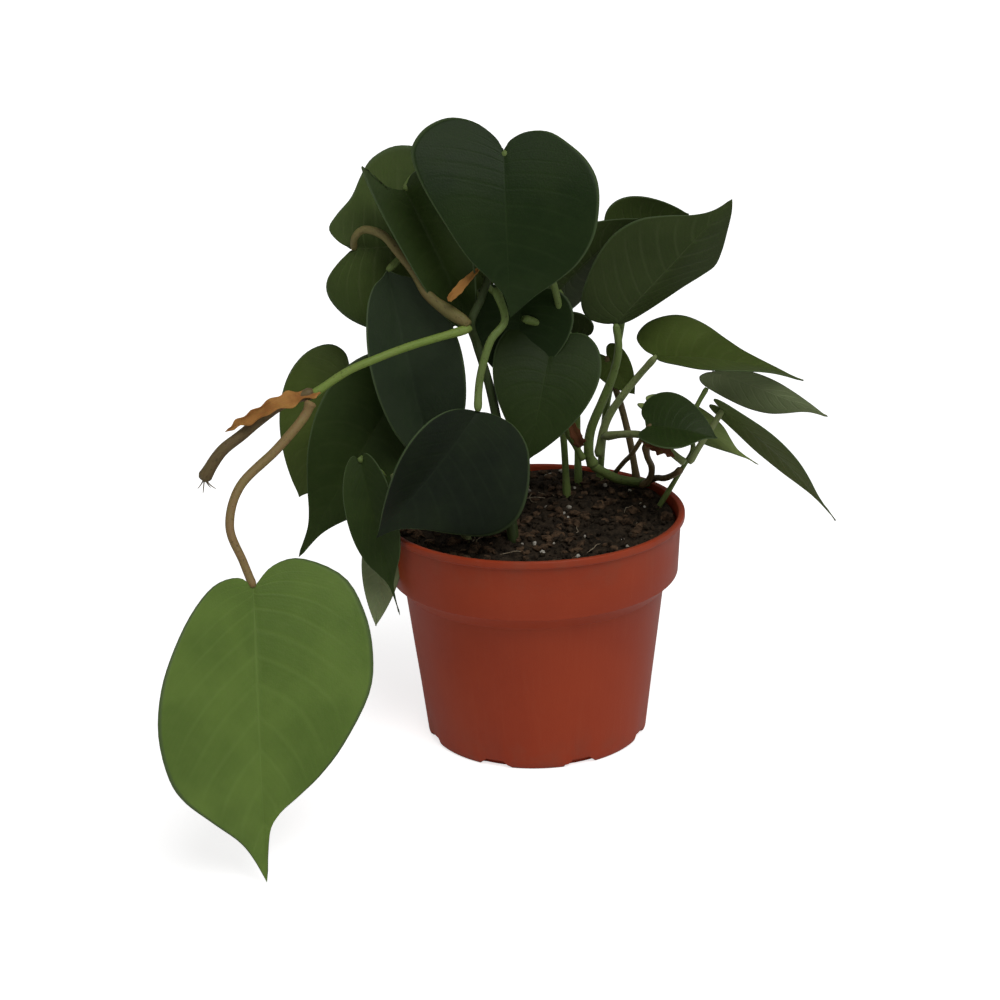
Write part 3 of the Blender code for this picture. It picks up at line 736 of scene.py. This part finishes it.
# This stalk finish is the green stalk darkened: painted shade for the crown stem, which runs down
# in shade behind the leaves.
SHADED_STALK = stem_finish("painted_shade_stalk", "green_stem", (40, 65, 16), (60, 80, 26), 0.35)
BRIGHT_STALK = stem_finish("bright_stalk", "green_stem", (200, 300, 50), (260, 320, 85), 0.3)
PALE_STALK = stem_finish("pale_stalk", "green_stem", (220, 290, 95), (310, 330, 150), 0.4)
PINK_STALK = stem_finish("pink_stalk", "old_stem", (250, 210, 65), (300, 170, 80), 0.5)
BROWN_STALK = stem_finish("brown_stalk", "old_stem", (180, 180, 55), (210, 150, 55), 0.55)
OLD_BARK = stem_finish("old_bark", "old_stem", (190, 150, 60), (140, 85, 40), 0.5)
print("stem finishes made")

# %% Stem builder
RING_SPACING = 1.6
RING_SIDES = 14
HEADING_STEP = 0.004
LEAF_REACH = 6.5
# How much a stalk swells at its start and near its blade, and over what lengths.
SWELLING, SWELLING_LENGTH = 0.22, 2.6
TOP_SWELLING, TOP_LENGTH = 0.18, 4.0
# How far it thins where it meets the blade, and at both end rings.
NECK, NECK_LENGTH = 0.75, 3.0
END_RING = 0.7
UNEVENNESS, UNEVEN_SCALE = 0.05, 0.16
MAP_LENGTH = 12


def turned_frame(place, heading, facing, radius):
    """A matrix that stands a unit circle across a heading, with its first point towards facing."""
    right = (facing - heading * facing.dot(heading)).normalized()
    over = heading.cross(right)
    columns = [right * radius, over * radius, heading * radius, place]
    return Matrix([[*(column[row] for column in columns)] for row in range(3)] + [(0, 0, 0, 1)])


def stem(name, route, finish=GREEN_STALK, radius=1.4, ends=(1.0, 1.0), rooted=1.6, joined=0,
         swollen=True, node=True):
    """A round stalk along a smooth curve through a route given in millimetres.

    ends scales the radius at both ends. rooted is how far the start sinks into its parent, and
    joined how far the far end runs on into another stem. The far end closes on the notch of a
    leaf wherever one is near. node says whether the stalk has a plain node of the same name.
    """
    material, slot = finish
    points = [Vector(point) for point in route]
    back = (points[0] - points[1]).normalized()
    points[0] = points[0] + back * rooted
    onward = (points[-1] - points[-2]).normalized()
    points[-1] = points[-1] + onward * joined
    near = min(LEAF_BASES, key=lambda base: (base - points[-1]).length)
    meets_leaf = (near - points[-1]).length < LEAF_REACH
    if meets_leaf:
        points[-1] = near
    length = sum((b - a).length for a, b in zip(points, points[1:]))
    count = max(6, round(length / RING_SPACING))
    shape = bmesh.new()
    layer = shape.verts.layers.float_vector.new("stem_map")
    facing = Vector((0.3, -1, 0.2))
    ring = []
    placed = None
    for index in range(count + 1):
        share = index / count
        run = length * share
        place = through(points, share)
        ahead = through(points, share + HEADING_STEP)
        heading = (ahead - through(points, share - HEADING_STEP)).normalized()
        size = radius * (ends[0] * (1 - share) + ends[1] * share)
        size *= 1 + UNEVENNESS * noise.noise(place * UNEVEN_SCALE)
        if swollen:
            size *= 1 + SWELLING * math.exp(-(((run - rooted) / SWELLING_LENGTH) ** 2))
            size *= 1 + TOP_SWELLING * math.exp(-(((length - run) / TOP_LENGTH) ** 2))
        if meets_leaf and length - run < NECK_LENGTH:
            size *= NECK + (1 - NECK) * (length - run) / NECK_LENGTH
        if index in (0, count):
            size *= END_RING
        frame_now = turned_frame(place * MM, heading, facing, size * MM)
        facing = frame_now.col[0].xyz.normalized()
        if placed is None:
            made = bmesh.ops.create_circle(
                shape, cap_ends=True, segments=RING_SIDES, radius=1, matrix=frame_now
            )
            ring = shape.edges[:]
            verts = made["verts"]
        else:
            made = bmesh.ops.extrude_edge_only(shape, edges=ring)["geom"]
            ring = [part for part in made if isinstance(part, bmesh.types.BMEdge)]
            verts = [part for part in made if isinstance(part, bmesh.types.BMVert)]
            ring = [edge for edge in ring if all(vert in verts for vert in edge.verts)]
            bmesh.ops.transform(shape, matrix=frame_now @ placed.inverted(), verts=verts)
        placed = frame_now
        local = placed.inverted()
        for vert in verts:
            around = (local @ vert.co).normalized()
            vert[layer] = (around.x, around.y, run / MAP_LENGTH)
    bmesh.ops.holes_fill(shape, edges=ring, sides=RING_SIDES)
    bmesh.ops.recalc_face_normals(shape, faces=shape.faces)
    mesh = mesh_of(shape, name, material)
    mesh.shade_smooth()
    finish_piece(f"{name}_fine" if node else name, mesh, name if node else None)

# %% [markdown]
# Each call is one stem or stalk, on the route of its plain counterpart: the first point is in the
# soil or on its parent, the last one at its leaf.

# %% Stem calls
SOIL_LEVEL = 86.0
RIM_RADIUS = 60.0


def soil_height(x, y):
    """Height of the soil: low in front, heaped towards the back and the right."""
    reach = min(math.hypot(x, y) / RIM_RADIUS, 1.0)
    slope = 0.03 * x + 0.085 * y
    lumps = 0.8 * math.sin(0.21 * x + 1.0) * math.cos(0.17 * y) + 0.5 * math.sin(0.33 * y + 0.1 * x)
    return SOIL_LEVEL + slope + lumps * (1 - 0.5 * reach)


def foot(x, y):
    """A route's lowest point, just above the soil."""
    return (x, y, soil_height(x, y) + 1.0)


# The crown stem takes the darkened stalk finish: painted shade.
stem("stem_crown", [foot(-8, -14), (-10, -8, 110), (-15, -2, 140), (-20, -3, 160),
     (-22, -11, 171), (-18, -10, 180), (-14, -7, 190)], SHADED_STALK, 1.8, (1.1, 0.8), rooted=4)
stem("stem_runner", [(-25, -16, 169.5), (-43, -26, 167), (-57, -34, 164), (-68, -37, 160),
     (-76.5, -39.5, 155)], BRIGHT_STALK, 1.5, rooted=3.5, joined=5.0)
stem("stem_cut_end", [(-81.5, -40.5, 153), (-93, -42, 149), (-107, -45, 139), (-115, -47, 133),
     (-122, -48, 123)], OLD_BARK, 2.1, (0.9, 1.1))
stem("stem_right_root", [(43, 30, 92.6), (37, 28.5, 94), (31, 27, 97), (26.5, 25, 100.5)],
     GREEN_STALK, 1.9, rooted=5, joined=3.5, swollen=False)
stem("stem_right_side", [(30, 25, 114), (37, 16, 117.5), (44, 9, 119), (49, 6, 116.5),
     (53, 4, 115), (57, 2, 112), (60, 0.5, 110)], PALE_STALK, 1.5)
stem("stem_right_grey", [(58, 1.5, 106.5), (56, 7, 103), (53, 15, 99), (50, 23, 96.5),
     (46, 28, 93)], OLD_BARK, 1.3)
stem("stem_right_olive", [(45, 6, 115), (46, 12, 109), (48, 17, 103), (47.4, 20, 97.5),
     (44, 22, 93.4)], OLD_BARK, 1.3)
stem("stem_left", [foot(-26, -12), (-34, -14, 104), (-44, -17, 113), (-54, -20, 113)], PALE_STALK,
     1.5, rooted=4)
stem("stalk_crown_front", [foot(14, 26), (13, 27, 113), (11, 26, 132), (11, 16, 156),
     (12, 9, 170), (8, 5, 188), (1, 1, 208), (-6, -1, 228), (-8, -3.5, 235)], rooted=4)
stem("stalk_crown_folded", [(-16, 0, 187), (-22, 8, 203), (-33, 13, 219), (-42, 13, 223),
     (-45.5, 10.8, 220)])
stem("stalk_high_left", [(-26, -13, 173.5), (-37, -6, 180), (-43, -2, 189), (-49, 2, 196),
     (-55, 6, 202), (-62, 8, 204), (-66, 8.5, 201), (-67, 9, 196)], BROWN_STALK, 1.5,
     (1.45, 0.85), rooted=4.5)
stem("stalk_crown_behind", [(20, 21, 107), (17.5, 20.5, 112), (14, 19, 120), (14, 19, 138),
     (15.5, 20, 152), (14.5, 21.4, 164), (13, 22.6, 173.4)])
stem("stalk_grey_left", [(-19, -1, 178), (-32, 9, 193), (-45, 13, 194), (-52.5, 9.8, 190)])
stem("stalk_left_outer", [foot(-26, 14), (-36, 24, 110), (-50, 28, 134), (-64, 25, 141),
     (-69.6, 23, 139.6)], rooted=4)
stem("stalk_left_inner", [foot(-22, 0), (-32, 7, 108), (-43, 11, 126), (-49, 11.6, 132),
     (-53, 11.4, 134)], rooted=4)
stem("stalk_low_left", [(-57.4, -21.4, 115), (-61, -23, 119), (-65, -24, 122.5), (-67, -25, 121)],
     GREEN_STALK, 1.0)
stem("stalk_low_pale", [(-58, -19, 112), (-63, -20.5, 104), (-65.6, -23, 95), (-64.2, -24, 85.4)],
     BROWN_STALK, 0.9)
stem("stalk_trailing", [(-81.5, -44, 149.5), (-84, -46, 145), (-93, -58, 137), (-105, -72, 128),
     (-108, -84, 117), (-103, -91, 106), (-100, -95, 100.5)], PINK_STALK, 1.6, (1.2, 0.9))
stem("stalk_front", [(-12, -11, 183), (-9, -14, 173), (-14.5, -18, 166), (-18, -20, 156),
     (-19.5, -20.4, 148), (-20, -22.4, 142.6)], GREEN_STALK, 1.5)
stem("stalk_middle", [(-1, 5, 168), (4, 8, 165.4), (7.6, 8.4, 161.8), (8, 5, 157.2)])
stem("stalk_middle_small", [(-16, -4, 184), (-12, -1.5, 179), (-9, -4.2, 172.4)], GREEN_STALK,
     1.1)
stem("stalk_tall_right", [(24.4, 24, 103.5), (23, 23, 108), (24, 22, 118), (29, 20, 131),
     (33, 18, 142), (35, 16, 153), (34.8, 14.6, 161.5)], GREEN_STALK, 1.8, (1.2, 0.8))
stem("stalk_back_right", [foot(28, 42), (31, 44, 120), (38, 43, 160), (40, 39, 188)], rooted=4)
stem("stalk_right_upper", [(27.5, 28.5, 106), (29, 28, 115), (32, 27, 123), (37, 25, 131),
     (43, 23.5, 139), (49.2, 20.4, 146)], PALE_STALK, 1.5, (1.2, 0.9))
stem("stalk_right_under", [foot(51, 10), (60, 8, 106), (63.4, 3.4, 115), (62, 0.4, 123),
     (64, -0.4, 132), (68.6, 1.6, 140)], GREEN_STALK, 0.95, rooted=4)
stem("stalk_right_low", [(62.5, -0.5, 111.5), (66, -1.5, 118), (70, -3, 125),
     (73.8, -4.6, 131.8)], PALE_STALK, 1.2)
stem("stalk_small_dark", [foot(32, 38), (37, 24, 103), (40, 8.6, 112), (43.8, -5.4, 123.4)],
     OLD_BARK, 1.0, rooted=4)
stem("stalk_young", [(47, 10, 120), (46, 17.4, 125), (47.4, 17.2, 128.4)], GREEN_STALK, 1.0)
stem("stalk_back_dark", [foot(19, 38), (19, 44, 120), (20, 46, 138), (20.6, 43.6, 148.4)],
     rooted=4)
stem("stalk_back_grey", [foot(43, 34), (41, 36, 104), (39, 36, 114), (36, 36, 126), (32, 36, 138),
     (31, 34.6, 144)], OLD_BARK, rooted=4)
stalks = [o for o in bpy.data.objects if o.name.startswith(("stem", "stalk"))]
print(len(stalks), "stems and stalks")

# %% [markdown]
# ## Dry sheaths
# Every young philodendron leaf comes out of a thin sheath that soon dries to brown paper and hangs
# on at the node. A sheath is a narrow blade with a ragged margin and its own finish, with fine
# ribs along its length that turn rusty in places, and rusty stains.

# %% Sheaths
PAPER_THICKNESS = 0.25


def sheath_finish(name, pale, rusty):
    material, tree, shader = new_finish(name, 0.25, 0.10)
    uv = add_node(tree, "UVMap", {"uv_map": "blade"})
    stretch = add_node(tree, "Mapping", Vector=uv.outputs["UV"], Scale=(9.0, 0.9, 1.0))
    ribs = grain(tree, stretch.outputs["Vector"], 3.0, 4.0, 0.6)
    spots = object_places(tree)
    stains = step(tree, grain(tree, spots, 160.0, 3.0), 0.38, 0.66)
    mixed = calc(tree, "MULTIPLY_ADD", ribs, 0.6, calc(tree, "MULTIPLY", stains, 0.5), clamp=True)
    colour = blend_colour(tree, mixed, shade(pale), shade(rusty))
    rough = calc(tree, "MULTIPLY_ADD", ribs, 0.2, 0.55)
    finish_surface(tree, shader, colour, rough, ribs, 0.4 * MM, 0.8)
    return material


SHEATH = sheath_finish("dry_paper", (600, 300, 80), (300, 110, 25))
CURLED = sheath_finish("curled_paper", (260, 95, 35), (110, 35, 15))
DRY = (SHEATH, SHEATH, "dry_sheath")
DULL = (CURLED, CURLED, "dry_sheath")


def sheath(name, base, tip, width, faces, finish, droop, fold, rows=30, **more):
    """A strip of thin dry paper, folded alike on both sides."""
    leaf(name, base, tip, width, faces, finish, STRIP, droop=droop, fold=(fold, fold),
         thickness=PAPER_THICKNESS, rows=rows, columns=12, **more)


sheath("sheath_left_node", (-77, -41, 155), (-113, -48, 141), 6, (15, 60), DRY, 20, 24, 56,
       twist=40, flutter=2.4, ragged=1.1)
sheath("sheath_crown", (-30, -15, 181), (-18, -9, 192), 3.2, (0, 20), DRY, 60, 20, 48,
       flutter=3.0, ragged=0.4)
sheath("sheath_middle", (20, 16, 112), (14, 14, 127), 6, (0, 20), DULL, 40, 40, flutter=1.4,
       ragged=0.6)
sheath("sheath_right_node", (43.8, 1, 121.4), (56, -4.4, 114), 8, (0, 30), DULL, 40, 30,
       flutter=1.8, ragged=0.9)
sheath("sheath_left_low", (-62, -25.4, 104), (-52, -25, 110.6), 7, (0, 30), DULL, 40, 30,
       flutter=1.4, ragged=0.6)
print("sheaths made")

# %% [markdown]
# ## Roots at the cut end
# A cut runner dries out, and a few hair-like roots are left at its end. Each one is a short stem
# with a kink half way, set off to the side, downwards and towards the front or the back.

# %% Root hairs
HAIR_RADIUS = 0.28
HAIR_START = (-121.5, -48, 123.5)
HAIRS = ((-2.5, -3.5, -1), (-0.5, -5, -1.5), (2, -4, 0.5), (4.5, -3.5, -1.5))

for number, (aside, down, forth) in enumerate(HAIRS):
    x, y, z = HAIR_START
    kink = (x + aside * 0.5, y + forth, z + down * 0.6)
    end = (x + aside, y + forth * 1.6, z + down)
    stem(f"root_hair_{number}", [HAIR_START, kink, end], OLD_BARK, HAIR_RADIUS, (1.0, 0.5),
         rooted=0.5, swollen=False, node=False)
print(len(HAIRS), "root hairs")

# %% [markdown]
# ## The pot
# A nursery pot is one thin moulded shell: a tapering body, a step, a straight band and a small lip.
# Its section is drawn once as a row of points and spun a full turn, then its corners are rounded
# with a small bevel. The drain notches in the base are pushed up out of the finished shell.

# %% Pot shell
POT_HEIGHT = 92.0
LIP_HEIGHT = 3.0
LIP_OVERHANG = 1.6
WALL = 1.3
FLOOR = 1.6
BAND_FOOT = 67.0
SHOULDER_FOOT = 62.0
SHOULDER_RADIUS = 51.6
BASE_RADIUS = 44.3
POT_STEPS = 160
NOTCHES = 8
NOTCH_HALF_WIDTH = 5.6
NOTCH_DEPTH = 3.4
NOTCH_HEIGHT = 3.0
NOTCH_SLOPE = 0.8
CORNER_RADIUS = 0.35
CORNER_ANGLE = 0.30
CORNERS_ABOVE = 5


def pot_section():
    """Half of the pot's section, from the floor's middle up the inside and down the outside."""
    band = RIM_RADIUS - LIP_OVERHANG
    lip_foot = POT_HEIGHT - LIP_HEIGHT
    base_ring = BASE_RADIUS - NOTCH_DEPTH
    return (
        (0, FLOOR), (BASE_RADIUS - WALL - 2, FLOOR), (BASE_RADIUS - WALL, FLOOR + 2),
        (SHOULDER_RADIUS - WALL, SHOULDER_FOOT), (band - WALL - 1.4, BAND_FOOT),
        (band - WALL, lip_foot), (RIM_RADIUS - WALL - 1.2, POT_HEIGHT - 0.4),
        (RIM_RADIUS - WALL, POT_HEIGHT), (RIM_RADIUS - 0.4, POT_HEIGHT),
        (RIM_RADIUS, POT_HEIGHT - 0.5), (RIM_RADIUS, lip_foot + 0.5), (RIM_RADIUS - 0.5, lip_foot),
        (band, lip_foot - 0.4), (band - 0.6, 78.0), (band - 1.2, BAND_FOOT + 0.6),
        (band - 1.9, BAND_FOOT), (SHOULDER_RADIUS + 0.9, SHOULDER_FOOT + 0.8),
        (SHOULDER_RADIUS, SHOULDER_FOOT), (SHOULDER_RADIUS - 2.4, 42.0), (BASE_RADIUS + 2.4, 22.0),
        (BASE_RADIUS + 0.25, NOTCH_HEIGHT + 0.4), (BASE_RADIUS, 1.2), (BASE_RADIUS - 1.2, 0),
        (base_ring + 0.4, 0), (base_ring, 0), (30.0, 0), (0, 0),
    )


def spun(section, steps):
    """A closed turned shape: a row of points joined by edges and spun round the upright."""
    shape = bmesh.new()
    row = [shape.verts.new((radius * MM, 0, height * MM)) for radius, height in section]
    edges = [shape.edges.new(pair) for pair in zip(row, row[1:])]
    bmesh.ops.spin(
        shape, geom=row + edges, axis=(0, 0, 1), cent=(0, 0, 0), angle=math.tau, steps=steps,
        use_merge=True
    )
    bmesh.ops.remove_doubles(shape, verts=shape.verts, dist=MERGE)
    bmesh.ops.recalc_face_normals(shape, faces=shape.faces)
    return shape


def is_corner(edge):
    """Whether a level edge, well above the base, turns sharply enough to be rounded."""
    low, high = sorted(vert.co.z for vert in edge.verts)
    if len(edge.link_faces) != 2 or edge.verts[0].co.z <= CORNERS_ABOVE * MM:
        return False
    return edge.calc_face_angle() > CORNER_ANGLE and high - low < 0.1 * MM


shape = spun(pot_section(), POT_STEPS)
bmesh.ops.bevel(
    shape, geom=[edge for edge in shape.edges if is_corner(edge)], offset=CORNER_RADIUS * MM,
    offset_type="OFFSET", segments=2, profile=0.5, material=-1, affect="EDGES", clamp_overlap=True
)
for vert in shape.verts:
    reach = math.hypot(vert.co.x, vert.co.y) / MM
    turns = math.atan2(vert.co.y, vert.co.x) * NOTCHES / math.tau - 0.5
    aside = abs(turns - round(turns)) * math.tau / NOTCHES * reach
    in_foot = vert.co.z < NOTCH_HEIGHT * MM and reach > BASE_RADIUS - NOTCH_DEPTH + 0.2
    if in_foot and aside < NOTCH_HALF_WIDTH:
        vert.co.z = NOTCH_HEIGHT * MM * min(1.0, (NOTCH_HALF_WIDTH - aside) / NOTCH_SLOPE)
pot_mesh = mesh_of(shape, "pot_shell")
pot_mesh.shade_smooth()
pot_mesh.set_sharp_from_angle(angle=math.radians(50))
print("pot:", len(pot_mesh.polygons), "faces")

# %% [markdown]
# Moulded plastic has soft cloudy differences, faint drag lines up the taper, tiny pores, and the
# film of dried soil that watering leaves, thickest near the rim and at the foot.

# %% Pot finish
def build_dust():
    """Dried soil: patches that are thickest near one height."""
    inputs = [("Height", "Float", 0.09), ("Reach", "Float", 0.02), ("Amount", "Float", 0.4)]
    tree, given, result = new_group("dust", inputs, [("Mask", "Float")])
    spots = object_places(tree)
    split = add_node(tree, "SeparateXYZ", Vector=spots)
    away = calc(tree, "ABSOLUTE", calc(tree, "SUBTRACT", split.outputs["Z"], given["Height"]))
    fade = calc(tree, "DIVIDE", away, given["Reach"])
    near = calc(tree, "SUBTRACT", 1.0, fade, clamp=True)
    patches = step(tree, grain(tree, spots, 90.0, 5.0, 0.6), 0.42, 0.72)
    mask = calc(tree, "MULTIPLY", calc(tree, "MULTIPLY", near, patches), given["Amount"])
    feed(tree, result["Mask"], mask)
    return tree


DUST = build_dust()


def pot_finish():
    material, tree, shader = new_finish("terracotta_plastic_fine", 0.26)
    spots = object_places(tree)
    drag = add_node(tree, "Mapping", Vector=spots, Scale=(1.0, 1.0, 0.05))
    lines = grain(tree, drag.outputs["Vector"], 420.0, 3.0)
    clouds = step(tree, grain(tree, spots, 26.0, 3.0), 0.3, 0.7)
    pores = grain(tree, spots, 1500.0, 2.0)
    colour = blend_colour(tree, clouds, (0.375, 0.045, 0.012), (0.415, 0.054, 0.015))
    pale_lines = calc(tree, "MULTIPLY", step(tree, lines, 0.5, 0.8), 0.10)
    colour = blend_colour(tree, pale_lines, colour, (0.48, 0.10, 0.04))
    rim_dust = place_group(tree, DUST, Height=0.089, Reach=0.016, Amount=0.20)
    foot_dust = place_group(tree, DUST, Height=0.0, Reach=0.018, Amount=0.25)
    dust = calc(tree, "MAXIMUM", rim_dust["Mask"], foot_dust["Mask"])
    colour = blend_colour(tree, dust, colour, (0.20, 0.12, 0.08))
    clean = calc(tree, "MULTIPLY_ADD", clouds, 0.05, 0.42)
    rough = calc(tree, "ADD", clean, calc(tree, "MULTIPLY", dust, 0.6))
    height = calc(tree, "MULTIPLY_ADD", lines, 0.5, pores)
    finish_surface(tree, shader, colour, rough, height, 0.12 * MM, 0.35)
    return material


pot_mesh.materials.append(pot_finish())
finish_piece("pot_fine", pot_mesh, "pot")
print("pot finished")

# %% [markdown]
# ## The soil
# Potting soil is a lumpy surface of peat with bark chips, threads of fibre and grains of white
# perlite. The surface itself is a spun disc whose points are lifted by several sizes of noise,
# and the loose bits are small separate shapes, each a rough ball of few faces.

# %% Soil body
SOIL_STEPS = 168
SOIL_RINGS = 46
SOIL_GAP = 0.3
SOIL_LUMPS = ((1.1, 0.35), (0.8, 0.9), (0.4, 2.2))
wall = RIM_RADIUS - LIP_OVERHANG - WALL - SOIL_GAP
section = [
    (0, FLOOR + SOIL_GAP), (BASE_RADIUS - WALL - 2.4, FLOOR + SOIL_GAP),
    (BASE_RADIUS - WALL - NOTCH_DEPTH, FLOOR + SOIL_GAP + NOTCH_HEIGHT),
    (SHOULDER_RADIUS - WALL - 0.6, SHOULDER_FOOT), (wall - 2.0, BAND_FOOT),
    (wall - 0.9, SOIL_LEVEL),
]
section += [
    (wall * 0.97 * (1 - number / SOIL_RINGS), SOIL_LEVEL) for number in range(SOIL_RINGS + 1)
]
shape = spun(section, SOIL_STEPS)
for vert in shape.verts:
    if vert.co.z > (SOIL_LEVEL - 1) * MM:
        x, y = vert.co.x / MM, vert.co.y / MM
        reach = math.hypot(x, y) / wall
        spot = Vector((x, y, 0))
        rough = sum(size * noise.noise(spot * scale) for size, scale in SOIL_LUMPS)
        vert.co.z = (soil_height(x, y) + rough * (1 if reach < 0.95 else 0.3) - 0.3) * MM
soil_mesh = mesh_of(shape, "soil_body")
soil_mesh.shade_smooth()
print("soil:", len(soil_mesh.polygons), "faces")

# %% Soil finishes
def earth_finish(name, dark, brown, scale):
    material, tree, shader = new_finish(name, 0.12)
    spots = object_places(tree)
    clumps = step(tree, grain(tree, spots, scale, 5.0, 0.65), 0.35, 0.65)
    crumbs = grain(tree, spots, 1300.0, 4.0, 0.7)
    colour = blend_colour(tree, clumps, shade(dark), shade(brown))
    pale_bits = calc(tree, "MULTIPLY", step(tree, crumbs, 0.60, 0.72), 0.35)
    colour = blend_colour(tree, pale_bits, colour, (0.14, 0.09, 0.05))
    rough = calc(tree, "MULTIPLY_ADD", crumbs, 0.15, 0.80)
    finish_surface(tree, shader, colour, rough, crumbs, MM, 0.9)
    return material


PEAT = earth_finish("peat", (20, 15, 10), (62, 44, 28), 300.0)
BARK = earth_finish("bark", (40, 25, 15), (150, 92, 52), 420.0)
PERLITE = earth_finish("perlite", (460, 420, 340), (750, 710, 620), 500.0)
FIBRE = earth_finish("fibre", (250, 190, 120), (450, 380, 270), 500.0)
soil_mesh.materials.append(PEAT)
finish_piece("soil_fine", soil_mesh, "soil")

# %% Loose bits on the soil
FIBRES = 16
FIBRE_STEP = 2.2
FIBRE_RADIUS = 0.16
draw = random.Random(11)


def scatter(name, count, sizes, flatness, material, rough=0.35):
    """Small rough lumps that lie half sunk in the soil, as one piece."""
    shape = bmesh.new()
    for _ in range(count):
        turn_to = draw.uniform(0, math.tau)
        reach = wall * 0.94 * math.sqrt(draw.random())
        x, y = reach * math.cos(turn_to), reach * math.sin(turn_to)
        size = draw.uniform(*sizes)
        lump = bmesh.ops.create_icosphere(shape, subdivisions=1, radius=1)["verts"]
        for vert in lump:
            vert.co *= 1 + rough * draw.uniform(-1, 1)
        scaled = Matrix.Diagonal((size, size * draw.uniform(0.5, 0.9), size * flatness, 1))
        leaned = Matrix.Rotation(draw.uniform(-0.5, 0.5), 4, "X") @ scaled
        turned = Matrix.Rotation(draw.uniform(0, math.tau), 4, "Z") @ leaned
        spot = Vector((x, y, soil_height(x, y) + size * flatness * 0.35))
        placed = Matrix.Scale(MM, 4) @ Matrix.Translation(spot) @ turned
        bmesh.ops.transform(shape, matrix=placed, verts=lump)
    finish_piece(name, mesh_of(shape, name, material), None)


scatter("bark_chips", 260, (1.0, 3.4), 0.45, BARK)
scatter("peat_crumbs", 900, (0.5, 1.5), 0.8, PEAT)
scatter("perlite_grains", 46, (0.6, 1.3), 0.85, PERLITE, 0.2)
for number in range(FIBRES):
    turn_to = draw.uniform(0, math.tau)
    reach = wall * draw.uniform(0.3, 0.85)
    x, y = reach * math.cos(turn_to), reach * math.sin(turn_to)
    lie = draw.uniform(0, math.tau)
    fibre_route = []
    for _ in range(5):
        x += FIBRE_STEP * math.cos(lie)
        y += FIBRE_STEP * math.sin(lie)
        lie += draw.uniform(-0.7, 0.7)
        if math.hypot(x, y) < wall * 0.93:
            fibre_route.append((x, y, soil_height(x, y) + 0.5 + draw.uniform(0, 0.9)))
    if len(fibre_route) > 2:
        stem(f"soil_fibre_{number}", fibre_route, (FIBRE, "potting_soil"), FIBRE_RADIUS, rooted=0,
             swollen=False, node=False)
print("loose bits scattered")
